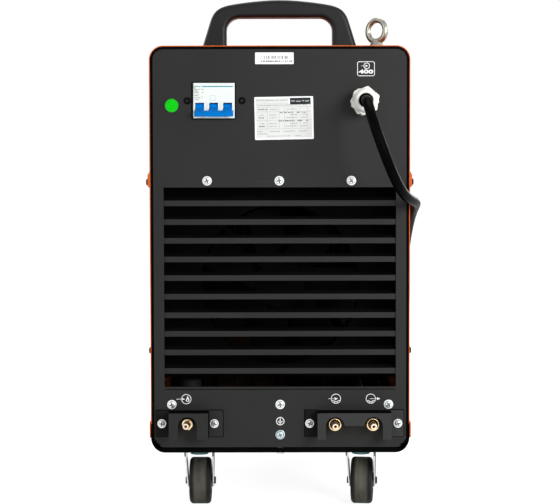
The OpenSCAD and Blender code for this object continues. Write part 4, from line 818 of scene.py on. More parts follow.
class Print(Shape):
    """Thin printing that lies on a plane of Y and faces out: -1 for the rear, 1 for the front."""

    def __init__(self, y, out=-1):
        super().__init__()
        self.y, self.out = y, out

    def slab(self, points, faces, mat, layer=0):
        """Flat faces over (x, z) points, made as thick as ink; a layer lies on the one before."""
        n = len(points)
        low = self.y + layer * INK_T * self.out
        edges = {edge for f in faces for edge in zip(f, f[1:] + f[:1])}
        rim = [e for f in faces for e in zip(f, f[1:] + f[:1]) if (e[1], e[0]) not in edges]
        verts = [(x, y, z) for y in (low, low + INK_T * self.out) for x, z in points]
        self.add(verts, [f[::-1] for f in faces] + [tuple(i + n for i in f) for f in faces]
                 + [(a, b, b + n, a + n) for a, b in rim], mat)

    def poly(self, points, mat=0, layer=0):
        self.slab(points, [tuple(range(len(points)))], mat, layer)

    def bar(self, x0, z0, x1, z1, w, mat=0, layer=0):
        """A line between two points."""
        d = Vector((x1 - x0, z1 - z0))
        n = Vector((-d.y, d.x)).normalized() * w / 2
        self.poly([(x0 + n.x, z0 + n.y), (x0 - n.x, z0 - n.y), (x1 - n.x, z1 - n.y), (x1 + n.x, z1 + n.y)],
                  mat, layer)

    def ring(self, cx, cz, r, w, mat=0, a0=0, a1=360):
        """A ring, or a part of one."""
        steps = max(6, (a1 - a0) // 10)
        count = steps + 1
        points = [p for q in (r - w / 2, r + w / 2) for p in arc(cx, cz, q, a0, a1, steps)]
        self.slab(points, [(i, i + 1, i + 1 + count, i + count) for i in range(steps)], mat)

    def frame(self, cx, cz, w, h, r, line, mat=0):
        """A line round a rounded oblong."""
        outer = round_outline(cx, cz, w, h, r)
        n = len(outer)
        self.slab(outer + round_outline(cx, cz, w - 2 * line, h - 2 * line, r - line),
                  [(i, (i + 1) % n, n + (i + 1) % n, n + i) for i in range(n)], mat)

    def arrow(self, x, z, tail, head=2.8, w=0.65):
        """A small arrow to the right, whose tip is at x."""
        half = 0.42 * head
        self.bar(x - tail, z, x - head + 0.2, z, w)
        self.poly([(x, z), (x - head, z + half), (x - head, z - half)])


def mains_symbol(s, x, z):
    """A framed ring with an arrow into it, over a plain number."""
    s.frame(x + 0.4, z - 0.3, 22.6, 18.8, 2.6, 0.8)
    s.ring(x + 1.3, z + 3.4, 3.7, 0.8)
    s.arrow(x + 3.2, z + 3.4, 9.2, 3.6, 0.5)
    s.join(text_shape("400", 6.6, x + 0.4, z - 4.2, s.y, s.out, heavy=0.3, wide=1.85))


def air_symbol(s, x, z):
    """A ring with an arrow and a flame."""
    s.ring(x, z, 6.1, 0.85)
    s.arrow(x - 1.6, z, 11.2, 5.2)
    for r, top, drop, mat in ((2.7, 4.3, -0.9, 0), (1.1, 1.0, -1.6, 1)):
        flame = arc(x + 1.6, z + drop, r, 200, 340, 10)
        flame += [(x + 1.6 + 0.55 * r, z + drop + 0.9 * r), (x + 1.7, z + top)]
        s.poly(flame, mat, layer=mat)


def water_symbol(s, x, z, tip, tail):
    """A ring with an arrow and a wavy water line below."""
    s.ring(x, z, 6.1, 0.8)
    s.arrow(tip, z, tail, 4.4, 0.55)
    start, end, count = 208, 332, 7
    wave = []
    for k in range(count):
        a = radians(start + k * (end - start) / (count - 1))
        r = 3.3 if k % 2 else 5.4
        wave.append((x + r * cos(a), z + r * sin(a)))
    for (x0, z0), (x1, z1) in zip(wave, wave[1:]):
        s.bar(x0, z0, x1, z1, 0.9)


def earth_symbol(s, x, z):
    s.ring(x, z, 4.9, 1.05)
    s.bar(x, z + 3.8, x, z - 0.2, 1.2)
    for w, dz in ((6.4, -0.2), (4.2, -1.7), (2.0, -3.2)):
        s.bar(x - w / 2, z + dz, x + w / 2, z + dz, 0.95)


def symbols():
    """The rear panel's printing: mains, air, water in and out, and earth."""
    s = Print(REAR)
    fittings_z = 156.8
    mains_symbol(s, 110.6, 583.3)
    air_symbol(s, -121.8, fittings_z - 0.2)
    water_symbol(s, 72.3, fittings_z, 75.0, 12.4)
    water_symbol(s, 117.6, fittings_z, 130.0, 13.6)
    earth_symbol(s, 0, 127.6)
    put("rear_symbols", s, ["print", "shade"], "label_film", angle=60)


def stickers(rng):
    """A bare serial label with two rows of plain strokes, and a round green sticker."""
    thick = 0.25
    s = Print(REAR - thick)
    label_x, label_z = -6.7, Z1 - 16.4
    s.prism(round_outline(label_x, label_z, 49.6, 15.0, 1.0, 4), s.y, REAR)
    rows = ((-13.5, 18, -0.8, 3.2, (0.5, 0.8, 1.2), (1.0, 1.6, 2.6)),
            (-17.5, 22, -4.8, -2.9, (0.8, 1.4, 2.0), (0.8, 1.1, 1.6)))
    for start, end, low, high, widths, gaps in rows:
        x, z = label_x + start, label_z + (low + high) / 2
        while x < label_x + end:
            w = rng.choice(widths)
            s.bar(x, z, x + w, z, high - low, 2)
            x += w + rng.choice(gaps)
    dot_x, dot_z = -138.9, Z1 - 76.7
    s.prism(ring_outline(dot_x, dot_z, 8.5, 48), s.y, REAR, mat=1)
    s.ring(dot_x, dot_z, 6.9, 0.45, mat=3)
    put("stickers_fine", s, ["label", "green", "ink", "green_dark"], "label_film", ("labels",), angle=40)


def rating_plate(rng):
    """A bare table on a white plate, a little off level."""
    w, h, t = 75.6, 55.0, 0.6
    s = Print(-t)
    s.prism(round_outline(0, 0, w, h, 1.0, 4), -t, 0)
    # a pale field inside the margin, cut away round a dark field at the top
    field_x, field_z, notch_x, notch_z = w / 2 - 2.2, h / 2 - 2.4, 5.5, 17.6
    s.poly([(-field_x, -field_z), (field_x, -field_z), (field_x, notch_z), (notch_x, notch_z),
            (notch_x, field_z), (-field_x, field_z)], 3)
    dark_left, dark_right, dark_low, dark_high = 8.0, 34.4, 17.3, 25.7
    s.poly([(dark_left, dark_low), (dark_right, dark_low), (dark_right, dark_high), (dark_left, dark_high)],
           1, layer=1)
    for x0, x1, z in ((9.5, 14.5, 21.6), (16, 22, 21.2), (23.5, 26, 21.8), (27.5, 32.5, 21.4)):
        s.bar(x0, z, x1, z, 1.5, 2, layer=2)
    line, block_rows, table_top = 0.3, (8.4, -2.6, -13.6), 14.3
    for z in (24.6, 18.4, table_top) + block_rows:
        s.bar(-field_x, z, notch_x if z > notch_z + 1 else field_x, z, line, 2, layer=1)
    for x in (-21.5, -6.2, 1.0, 10.8, 20.6, 30.2):
        s.bar(x, table_top, x, block_rows[-1], line, 2, layer=1)
    # rows of blank print: (from, to) of each stretch, at a height, bold or not
    rows = [(22.9, 0, [(-36, 6)]), (16.6, 0, [(-34, 30)]), (11.4, 1, [(-33.6, -23)]),
            (11.4, 0, [(-18, -7.5), (3.5, 16)]),
            (7.0, 1, [(-5.4, -2), (0, 2.5), (5, 12), (16.5, 20), (23, 27)]),
            (-3.6, 1, [(-7, -1.6), (1, 12.4), (17.3, 23.7), (28.6, 31)])]
    for z in block_rows[:2]:
        rows += [(z - 4.2, 0, [(-31, -26), (-19, -9.5), (8, 17), (24, 29)]), (z - 7.7, 1, [(-32.6, -26)]),
                 (z - 7.7, 0, [(-19, -9.5), (2.5, 17), (22, 29.5)])]
    rows += [(-16.9, 0, [(-34.6, -28), (-18.4, -6), (-1.4, 13.2), (18.9, 28.6)]),
             (-19.9, 0, [(-34.6, -22.4)]),
             (-22.9, 0, [(-22.4, -6.2), (-4.6, 6.7), (13.2, 20.5)])]
    for z, bold, stretches in rows:
        high, mat = (1.4, 4) if bold else (1.1, 2)
        for start, end in stretches:
            x = start
            while x < end:
                w = rng.uniform(0.7, 1.9)
                s.bar(x, z, x + w, z, high * rng.uniform(0.8, 1.15), mat, layer=1)
                x += w + rng.uniform(0.35, 0.9)
    at = middle("rating_plate")
    s.move(shift((at.x + 1.0, REAR, at.z + 0.5)) @ spin(-1, "Y"))
    fine("rating_plate", s, ["plate", "slate", "grey_print", "field", "ink"], "plate_film", angle=40)


# ---------------- breaker

POLE_W, NOSE_H = 18.0, 45.0
LEVERS_RIGHT = 0.5   # the levers stand a little right of the nose's middle


def breaker_body():
    """The body: its lever slots start a little lower than the CAD's, and its left edge is further in."""
    at = middle("breaker_body")
    face = corners("breaker_body")[0].y
    slot_top, slot_lower, slot_depth, left_half, left_in = at.z - 0.7, 2.0, 17.0, 26.5, 0.8
    bm = clean_copy("breaker_body")
    for v in bm.verts:
        x, y, z = v.co / MM
        if abs(z - slot_top) < 0.1 and y < face + slot_depth:
            v.co.z -= slot_lower * MM
        if y < face + 0.1 and x < at.x - left_half:
            v.co.x += left_in * MM
    place("breaker_fine", bm, ["white"], "white_plastic", ("breaker_body",), bevel=0.35)


def breaker_toggle():
    """Three levers on drums, a tie bar across them with two dark discs of painted shade where its holes are,
    and their spindle.
    """
    at = middle("breaker_body")
    axle = (at.x + LEVERS_RIGHT, corners("breaker_body")[0].y + 8, at.z - 9)
    lever_half, tie_half, hole_shade_x, spindle_half = 5.15, 24.8, 14.6, 25.7
    s = Shape()
    for x in (-POLE_W, 0, POLE_W):
        s.drum(5.6, -5.3, 5.3, (x, 0, 0), ACROSS)
        s.box((x - lever_half, -16.5, -3.1), (x + lever_half, 0, 3.1))
    s.box((-tie_half, -20.9, -3.0), (tie_half, -15.1, 3.0))
    # two dark blue discs: painted shade for the tie bar's holes
    for x in (-hole_shade_x, hole_shade_x):
        s.drum(1.3, 0, 0.5, (x, -20.6, -1.6), n=20, mat=1)
    s.drum(2, -spindle_half, spindle_half, ORIGIN, ACROSS, n=24)
    s.move(shift(axle) @ spin(26, "X"))
    fine("breaker_toggle", s, ["blue", "core_blue"], "blue_plastic", "breaker_toggle", bevel=0.8, segments=4)


def breaker_print_and_shade():
    """Parting lines, a coloured line, plain strokes, a faint field, and a frame of painted shade over the gap
    round the nose.
    """
    at = middle("breaker_body")
    s = Print(corners("breaker_body")[0].y)
    for side in (-1, 1):
        x = at.x + LEVERS_RIGHT + side * POLE_W / 2
        s.bar(x, at.z - 9.5, x, at.z - 2.5, 0.4)
    line_z = at.z + 18
    s.bar(at.x - 14.6, line_z, at.x + 24.8, line_z, 1.5, 1)
    s.bar(at.x - 24.4, line_z, at.x - 16.4, line_z, 1.0, 1)
    for x0, x1, z in ((-24.4, -17, 14.2), (-15.5, -12.5, 14.2), (-24.4, -18.5, 11.0), (-15.5, -13, 10.4),
                      (-24.4, -19.5, 6.4), (-24.4, -17, 3.6), (-15.5, -14, 4.6), (-24.4, -19, 1.2)):
        s.bar(at.x + x0, at.z + z, at.x + x1, at.z + z, 1.0)
    s.frame(at.x - 0.8, at.z + 3.4, 7.4, 6.2, 0.6, 0.3)
    # a frame of painted shade over the gap round the nose
    gap = 3.4
    s.y = REAR
    s.frame(at.x, at.z, 3 * POLE_W + gap, NOSE_H + gap, 1.9, 1.85, 2)
    put("breaker_print_and_shade", s, ["pale_print", "teal", "shade"], "white_plastic", angle=60)


# ---------------- gland

FLUTE = 0.55


def hexagon(af, clip):
    """The radius of a hexagon with clipped corners, by angle."""
    return lambda d: min(clip, af / 2 / cos(radians((d % 60) - 30)))


def clipped(radius, clip):
    return lambda d: min(clip, radius(d))


def groove(d, count):
    """The depth of one of many shallow grooves, at an angle."""
    return FLUTE * (0.5 - 0.5 * cos(radians(d * count)))


def gland():
    """The body with its lock nut, the ribbed cap, and the seal round the cord."""
    centre = middle("gland_cap")
    at = (centre.x, REAR, centre.z)
    s = Shape()
    flange = hexagon(32.6, 18.4)
    s.lathe([(clipped(flange, 16.6), 0), (clipped(flange, 17.8), 0.4), (flange, 0.9), (flange, 6.2),
             (clipped(flange, 17.9), 6.7), (clipped(flange, 16.4), 7.0), (13.1, 7.0)], at, n=120,
            capped=False)
    # the outer thread, and the shank and lock nut behind the panel
    crest = [(13.1 if k % 2 else 12.5, 7.0 + 0.75 * k) for k in range(14)]
    s.lathe(crest + [(12.6, 17.8), (12.0, 18.0), (8.5, 18.0), (8.5, -14), (13.6, -14), (14, -13.6), (14, 0)],
            at, n=72, capped=False)
    s.lathe([(14.2, 2.0), (16.4, 2.0), (16.5, 2.3), (16.5, 6.6), (16.2, 7.0), (14.2, 7.0)], at, FORWARD, n=6)
    fine("gland_body", s, ["nylon"], "nylon", angle=34)

    flats = hexagon(33, 18.6)
    flat_r = 17.6

    def ribbed(clip):
        """The cap's hexagon, with ribs on its flats."""
        return lambda d: min(flats(d), clip) - groove(d, 24) * (flats(d) < flat_r)

    nose = [(16.2, 27.4), (15.7, 28.4), (15.3, 30.0), (15.0, 31.4), (14.4, 33.0), (13.6, 34.8), (12.7, 36.4),
            (11.9, 37.4), (11.0, 37.9), (10.2, 38.0), (9.4, 37.7), (9.05, 37.0)]
    s = Shape()
    s.lathe([(13.6, 7.3), (clipped(flange, 16.8), 7.3), (ribbed(17.9), 7.7), (ribbed(18.6), 8.4),
             (ribbed(18.6), 20), (ribbed(18.5), 25.4), (ribbed(18.0), 26.4), (ribbed(17.2), 27.0)] + nose
            + [(9.0, 21), (13.6, 21), (13.6, 7.3)], at, n=180, turn=40, capped=False)
    fine("gland_cap", s, ["nylon"], "nylon", angle=34)

    s = Shape()
    s.lathe([(6.62, 18.4), (8.9, 18.4), (8.95, 31.2), (8.4, 32), (6.62, 32), (6.62, 18.4)], at)
    fine("gland_seal", s, ["cord"], "cord_rubber", angle=34)


# ---------------- hose fittings

FITTING_BORE = 1.7
COLLAR_OUT, COLLAR_R, RECESS_R, RECESS = 19.0, 8.3, 6.2, 8.0


def barbed(tail_r, start, end, barbs=4):
    """The outline of a hose tail, from its root to its mouth and back down its bore."""
    bore, root_depth = FITTING_BORE, -18
    p = [(tail_r - 0.7, start)]
    step = (end - start - 3) / barbs
    for k in range(barbs):
        a = start + 1.5 + k * step
        p += [(tail_r, a + 0.2), (tail_r, a + step * 0.3), (tail_r - 0.75, a + step * 0.95)]
    return p + [(tail_r - 0.8, end - 0.6), (tail_r - 1.3, end), (bore + 0.3, end), (bore, end - 0.5),
                (bore, root_depth)]


def nut(af, start, end, chamfer=0.6):
    """The outline of a hexagon with chamfered ends."""
    corner = hexagon(af, af * 0.565)
    face = clipped(corner, af / 2)
    return [(face, start), (corner, start + chamfer), (corner, end - chamfer), (face, end)]


def fitting_back(s, at):
    """The stub and the nut behind the panel."""
    s.lathe([(4.2, 2), (6.9, 2), (7.0, 2.3), (7.0, 6.6), (6.7, 7), (4.2, 7)], at, FORWARD, n=6)
    s.lathe([(FITTING_BORE, 0), (5, 0), (5, 21), (4.6, 21.9), (FITTING_BORE, 22)], at, FORWARD, n=32)


def air_fitting():
    centre = middle("air_inlet")
    at = (centre.x, REAR, centre.z)
    hex_out, tail_out, lean = 16.0, REAR - corners("air_inlet")[0].y, -3
    s = Shape()
    s.lathe([(5, -2)] + nut(13.4, 0, hex_out) + [(4.0, hex_out)], at, n=96, turn=12, capped=False)
    s.lathe(barbed(4.75, hex_out - 0.5, tail_out), at, n=40, mat=1)
    fitting_back(s, at)
    s.move(shift(at) @ spin(lean, "Z") @ shift(-Vector(at)))
    fine("air_inlet", s, ["brass", "copper"], "brass")


def water_fittings():
    """Two hose tails, each in a collar: a barrel with a full round lip and a deep recess, whose walls and
    floor take dark brown painted shade.
    """
    nut_out, floor, lip_r = 6, COLLAR_OUT - RECESS, (COLLAR_R - RECESS_R) / 2
    for name in ("water_inlet", "water_outlet"):
        centre = middle(name)
        at = (centre.x, REAR, centre.z)
        s = Shape()
        s.lathe([(5, -2)] + nut(15, 0, nut_out) + [(COLLAR_R - 0.4, nut_out)], at, n=96, turn=23,
                capped=False)
        lip = [(COLLAR_R - lip_r + r, COLLAR_OUT - lip_r + h) for r, h in arc(0, 0, lip_r, 0, 180, 12)]
        first = len(s.faces)
        s.lathe([(COLLAR_R - 0.4, nut_out), (COLLAR_R, nut_out + 0.4)] + lip
                + [(RECESS_R, floor), (2.8, floor)], at, n=64)
        # the recess's faces take the dark brown of the windings: painted shade
        for k in range(first, len(s.faces)):
            ring = [s.verts[i] for i in s.faces[k]]
            if all(hypot(x - at[0], z - at[2]) < RECESS_R + 0.02 for x, y, z in ring):
                s.mats[k] = 2
        s.lathe(barbed(4.7, floor, REAR - corners(name)[0].y), at, n=40, mat=1)
        fitting_back(s, at)
        fine(name, s, ["brass", "copper", "winding"], "brass")


# ---------------- casters

CASTERS = (("rear_left", -1, -1, 0), ("rear_right", 1, -1, -6), ("front_left", -1, 1, 8),
           ("front_right", 1, 1, -12))
WHEEL_R, TRAIL = 31.5, 28.0
CASTER_X, CASTER_IN = 108.5, 70.0
FORK_OUT = 19.7   # from the middle of a fork to the outside of its legs


def at_caster(sx, sy, yaw):
    """The place of a caster's swivel, turned about its own axis."""
    y = REAR + CASTER_IN if sy < 0 else FRONT - CASTER_IN
    return shift((sx * CASTER_X, y, 0)) @ spin(yaw, "Z")


def caster_plates():
    """The plates: the race between each plate and its fork is darkened with painted shade."""
    bm = clean_copy("caster_plates")
    race_r = 16.0
    centres = [at_caster(sx, sy, 0).translation for name, sx, sy, yaw in CASTERS]
    for f in bm.faces:
        c = f.calc_center_median() / MM
        # side faces near a swivel take painted shade
        if abs(f.normal.z) < 0.5 and min(hypot(c.x - at.x, c.y - at.y) for at in centres) < race_r:
            f.material_index = 1
    place("caster_plates_fine", bm, ["fork", "race"], "zinc", ("caster_plates",), bevel=0.35)


def fork(name, pose):
    """The fork: rims and crown darkened with painted shade, and smaller bolt heads, which are dark as well.
    """
    bolt_r, bolt_x, bolt_share, bolt_out, crown_z = (6, 8), 18, 0.66, FORK_OUT + 0.9, 73
    bm = clean_copy("fork_" + name)
    local = pose.inverted()
    for f in bm.faces:
        x, y, z = local @ (f.calc_center_median() / MM)
        normal = local.to_3x3() @ f.normal
        # the bolt heads and the faces round them are dark; the crown's rear faces take the race's painted
        # shade
        if abs(x) > bolt_x and hypot(y - TRAIL, z - WHEEL_R) < 7.5:
            f.material_index = 1
        elif z > crown_z and normal.y < -0.1 and abs(normal.z) < 0.5:
            f.material_index = 2
    for v in bm.verts:
        x, y, z = local @ (v.co / MM)
        if bolt_r[0] < hypot(y - TRAIL, z - WHEEL_R) < bolt_r[1] and abs(x) > bolt_x:
            v.co = pose @ Vector((copysign(min(abs(x), bolt_out), x), TRAIL + (y - TRAIL) * bolt_share,
                                  WHEEL_R + (z - WHEEL_R) * bolt_share)) * MM
    # the rounding takes material 1: painted shade on the rims
    place("fork_" + name + "_fine", bm, ["fork", "fork_shade_and_bolt", "race"], "zinc", ("fork_" + name,),
          "caster_" + name, bevel=0.75, rim=1)


def mirrored(half):
    """An outline whose last point lies on the middle, with its other half."""
    return half + [(r, -h) for r, h in half[-2::-1]]


def tyre(name, pose):
    """A rounded tread with two shallow grooves; its shoulders are darkened in two steps with painted shade,
    and its middle keeps the dusty rubber.
    """
    half, shoulder, shaded_beyond = 14.5, 5.0, (7.3, 9.4)
    profile = [(20.4, -11.0), (21.4, -13.7), (23.0, -half)]
    profile += arc(WHEEL_R - shoulder, shoulder - half, shoulder, -80, 0)
    profile += [(WHEEL_R, -7.4), (WHEEL_R, -4.6), (WHEEL_R - 0.35, -4.2), (WHEEL_R, -3.8), (WHEEL_R, 0)]
    s = Shape().lathe(mirrored(profile), ORIGIN, ACROSS, n=128)
    # faces beyond each limit take a darker step of painted shade
    s.mats = [sum(all(abs(s.verts[i][0]) > limit for i in f) for limit in shaded_beyond) for f in s.faces]
    fine("tyre_" + name, s.move(pose), ["tyre", "painted_shade_and_glint", "tyre_painted_shade"], "tyre_rubber", "wheel_" + name,
         angle=30)


def hub(name, pose):
    """A moulded hub with six ribs on each side."""
    rib_in, rib_out = 9.9, 11.6
    profile = [(4.05, -15.5), (9.6, -15.5), (11.2, -15.0), (11.7, -14.2), (11.7, -11.6), (12.6, -10.4),
               (17.2, -9.9), (18.6, -10.4), (20.0, -11.0), (20.0, 0)]
    s = Shape().lathe(mirrored(profile), ORIGIN, ACROSS, n=72)
    for low, high in ((-rib_out, -rib_in), (rib_in, rib_out)):
        for k in range(6):
            rib = Shape().box((low, -1.1, 12.0), (high, 1.1, 18.4))
            s.join(rib, spin(60 * k + 30, "X"))
    fine("hub_" + name, s.move(pose), ["hub"], "hub_plastic", "wheel_" + name, angle=30)


def casters():
    caster_plates()
    for name, sx, sy, yaw in CASTERS:
        pose = at_caster(sx, sy, yaw)
        on_axle = pose @ shift((0, TRAIL, WHEEL_R))
        fork(name, pose)
        tyre(name, on_axle)
        hub(name, on_axle)


# ---------------- front

FACE = FRONT + 7.0
FASCIA_RIM = 1.5
SOCKET_Z = 193.0


def text_shape(words, size, x, z, y, out=1, heavy=0.0, wide=1.0):
    """Plain numbers as flat outlines, standing on a panel that faces -Y (out -1) or +Y (out 1)."""
    data = bpy.data.curves.new("words", "FONT")
    data.body = words
    data.size = size
    data.align_x = "CENTER"
    data.align_y = "CENTER"
    data.resolution_u = 3
    data.extrude = INK_T / 2
    data.offset = heavy
    ob = show("words", data)
    mesh = read_mesh(ob)
    verts = [(x - out * wide * v.co.x, y + out * (data.extrude + v.co.z), z + v.co.y) for v in mesh.vertices]
    s = Shape().add(verts, [p.vertices for p in mesh.polygons])
    bpy.data.objects.remove(ob)
    return s


DIAL_X, DIAL_Z = 78, 483
DISPLAY_X, DISPLAY_Z, SWITCH_Z, LAMP_Z = -52, 529, 461, 551
SWITCHES = (("mode", -88), ("gas", -24))
WORK_X, TORCH_X = 88, -106


def fascia():
    """The fascia with its printing: a dial with plain numbers, fields, and 1 and 0 by each switch."""
    soften("fascia_fine", "control_fascia", "control", "control_plastic", bevel=0.5, segments=3)
    s = Print(FACE - FASCIA_RIM, 1)
    marks, start, step, mark_r = 11, 225, 27, 22.3
    for k in range(marks):
        a = radians(start - step * k)
        c, d = cos(a), sin(a)
        end_r = 24.3 if k % 2 else 25.5
        s.bar(DIAL_X - mark_r * c, DIAL_Z + mark_r * d, DIAL_X - end_r * c, DIAL_Z + end_r * d, 0.7)
        if k % 2 == 0:
            s.join(text_shape(str(20 + 10 * k), 5.0, DIAL_X - 30.5 * c, DIAL_Z + 30.0 * d, s.y))
    s.frame(DISPLAY_X, DISPLAY_Z, 100, 48, 3, 0.8)
    s.frame(68, LAMP_Z, 84, 20, 3, 0.6)
    s.frame(-56, SWITCH_Z, 100, 42, 3, 0.6)
    for name, x in SWITCHES:
        for word, z in (("1", SWITCH_Z + 8), ("0", SWITCH_Z - 8)):
            s.join(text_shape(word, 4.6, x + 17, z, s.y))
    put("fascia_print", s, ["print"], "label_film", angle=60)


def segment(x, z, upright):
    """One long six-sided mark of a digit."""
    length, half, point = 5.4 if upright else 6.4, 1.2, 1.2
    marks = [(length, 0), (length - point, half), (point - length, half), (-length, 0),
             (point - length, -half), (length - point, -half)]
    return [(x + b, z + a) if upright else (x + a, z + b) for a, b in marks]


def display():
    """The display behind its window: three digits with their points; and four lamps."""
    depth = 6
    s = Print(FRONT + depth, 1)
    s.prism(round_outline(DISPLAY_X, DISPLAY_Z, 92, 40, 1.2, 4), FRONT + 1, s.y)
    across, digit_h, digit_half = 26, 12, 7
    for x in (DISPLAY_X + across, DISPLAY_X, DISPLAY_X - across):
        for z in (digit_h, 0, -digit_h):
            s.poly(segment(x, DISPLAY_Z + z, False), 1)
        for z in (digit_h / 2, -digit_h / 2):
            for side in (-digit_half, digit_half):
                s.poly(segment(x + side, DISPLAY_Z + z, True), 1)
        s.poly(ring_outline(x - 11, DISPLAY_Z - 12.5, 1.3, 16), 1)
    lens = [(3.5, 0), (3.5, 6.5), (3.35, 7.9), (2.9, 9.0), (2.0, 9.7), (1.0, 9.95), (0, 10)]
    for x, mat in ((38, 2), (58, 2), (78, 3), (98, 4)):
        s.lathe(lens, (x, FRONT, LAMP_Z), FORWARD, n=32, mat=mat)
    put("display_fine", s, ["window", "segment", "lamp_green", "lamp_amber", "lamp_red"], "window",
        ("display_window",), angle=30)


def knob():
    """A skirt, a fluted grip and a white pointer that stands up at rest."""
    at = (DIAL_X, FACE - 1.2, DIAL_Z)

    def fluted(r):
        return lambda d: r - groove(d, 18)

    s = Shape()
    s.lathe([(3, -14), (3, 0), (17.6, 0), (18, 0.4), (18, 1.9), (17.3, 2.5), (fluted(15.2), 2.6),
             (fluted(15.2), 3.2), (fluted(13.7), 15.6), (fluted(13.0), 17.2), (11.6, 18.2), (10.4, 18.5),
             (9.6, 18.2), (9.2, 18.0)], at, FORWARD, n=180, capped=False)
    s.lathe([(9.2, 18.0), (8.9, 17.9), (0, 17.9)], at, FORWARD)
    for half, y0, y1, z0, z1 in ((0.7, 1.3, 17.4, 8.2, 13.5), (0.6, 1.2, 1.9, 14, 17)):
        s.box((DIAL_X - half, FACE + y0, DIAL_Z + z0), (DIAL_X + half, FACE + y1, DIAL_Z + z1), 1)
    fine("current_knob", s, ["knob", "print"], "control_plastic", "current_knob", angle=30)


def switches():
    soften("mode_switch_fine", "mode_switch", "red", "red_plastic", "mode_switch", 0.8, 3)
    soften("gas_switch_fine", "gas_switch", "knob", "control_plastic", "gas_switch", 0.8, 3)
    for name, x in SWITCHES:
        s = Shape().band(round_outline(x, SWITCH_Z, 25, 33, 2.4, 5),
                         round_outline(x, SWITCH_Z, 19.9, 27.9, 0.6, 5), FACE - FASCIA_RIM, FACE)
        put(name + "_switch_frame", s, ["knob"], "control_plastic", bevel=0.5, segments=3)


def lead_sockets():
    """The work and pilot sockets: a flange, a collar, a brass bore and a key."""
    behind = -30
    for name, x, flange, rim, out, bore, depth, key in (("work_socket", WORK_X, 24, 20, 14, 6.5, 30, 2.2),
                                                        ("pilot_socket", 0, 17, 14, 12, 4.5, 24, 1.5)):
        at = (x, FRONT, SOCKET_Z)
        body, mouth, floor = flange * 0.71, bore + 0.4, out - 3.5
        s = Shape()
        s.lathe([(body, behind), (body, 0), (flange, 0), (flange, 4.8), (flange - 1.2, 6), (rim + 1.0, 6),
                 (rim, 7), (rim, out - 1.2), (rim - 1.2, out), (bore + 4.6, out), (bore + 3.6, out - 1.0),
                 (bore + 3.4, floor), (mouth, floor)], at, FORWARD, n=72)
        s.lathe([(mouth, floor), (bore, out - 3.9), (bore, out - depth), (0, out - depth)], at, FORWARD,
                mat=1)
        s.lathe([(0, behind), (body, behind)], at, FORWARD, n=72)
        s.box((x - key, FRONT + out - 3.4, SOCKET_Z + bore - 0.2),
              (x + key, FRONT + out - 0.6, SOCKET_Z + bore + 4.0))
        fine(name, s, ["knob", "brass"], "control_plastic", angle=32)


def torch_connector():
    """The connector with its thread and six bolts, and its gas pipe down to the air fitting's level."""
    behind, body, bolt_ring, threads, pipe_r = -30, 20, 18.5, 18, 6.5
    at = (TORCH_X, FRONT, SOCKET_Z)
    s = Shape()
    s.lathe([(body, behind), (body, 0), (27, 0), (27, 5), (26.2, 6), (23.4, 6), (22, 7), (22, 11.2),
             (21.4, 12), (15.6, 12), (15, 11.4), (15, -8), (11, -8), (11, 19.4), (11.5, 20), (13, 20),
             (13, 22)], at, FORWARD, n=72)
    crest = [(13.0 if k % 2 else 12.4, 22 + 0.8 * k) for k in range(threads)]
    s.lathe(crest + [(12.6, 36.8), (12.0, 38), (6.2, 38), (5, 37.2), (5, 20), (0, 20)], at, FORWARD, n=72)
    s.lathe([(0, behind), (body, behind)], at, FORWARD, n=72)
    for k in range(6):
        a = radians(60 * k)
        bolt = (TORCH_X + bolt_ring * cos(a), FRONT + 11.8, SOCKET_Z + bolt_ring * sin(a))
        s.lathe([(0, 0), (1.3, 0), (1.3, 3.6), (0.9, 4.4), (0, 4.4)], bolt, FORWARD, n=20, mat=1)
    air = middle("air_inlet")
    foot = (air.x, FRONT - 24, air.z - 7.5)
    s.lathe([(pipe_r, 0), (pipe_r, 67), (0, 67)], foot, UP, n=32)
    s.lathe([(0, 0), (pipe_r, 0)], foot, UP, n=32)
    s.drum(5, 0, 18, (air.x, FRONT - 44, air.z), FORWARD, n=32)
    fine("torch_connector", s, ["brass", "copper"], "brass", angle=32)


def torch_water_ports():
    s = Shape()
    for name in ("water_inlet", "water_outlet"):
        port = middle(name)
        at = (port.x, FRONT, port.z)
        s.lathe([(5, -22), (5, 0)] + nut(15, 0, 7) + [(3.3, 7)], at, FORWARD, n=96, capped=False)
        s.lathe(barbed(4.0, 6.9, 30), at, FORWARD, n=40)
    fine("torch_water_ports", s, ["brass"], "brass", angle=32)


def front_marks():
    """A blue and a red ring round the torch's water ports, and white rings round the sockets."""
    s = Print(FRONT, 1)
    for mat, name in enumerate(("water_inlet", "water_outlet")):
        port = middle(name)
        s.ring(port.x, port.z, 11.5, 1.6, mat=mat)
    for x, r in ((WORK_X, 28), (0, 21), (TORCH_X, 31)):
        s.ring(x, SOCKET_Z, r, 0.7, mat=2)
    put("front_marks", s, ["blue", "red", "print"], "label_film", angle=60)


# ---------------- inside

def inside():
    """The CAD nodes that stay as they are, with their surfaces."""
    for mat, nodes in (("sheet", ["inner_frame"]), ("sink", ["heat_sink"]), ("module", ["power_modules"]),
                       ("winding", ["main_transformer", "output_choke"]),
                       ("board", ["inverter_board", "control_board"]), ("valve", ["solenoid_valve"]),
                       ("hose", ["internal_hoses"]), ("fan", ["fan_shroud", "fan_rotor"])):
        for node in nodes:
            data = NODES[node].data
            data.materials.clear()
            data.materials.append(M[mat])


# ---------------- cord pieces

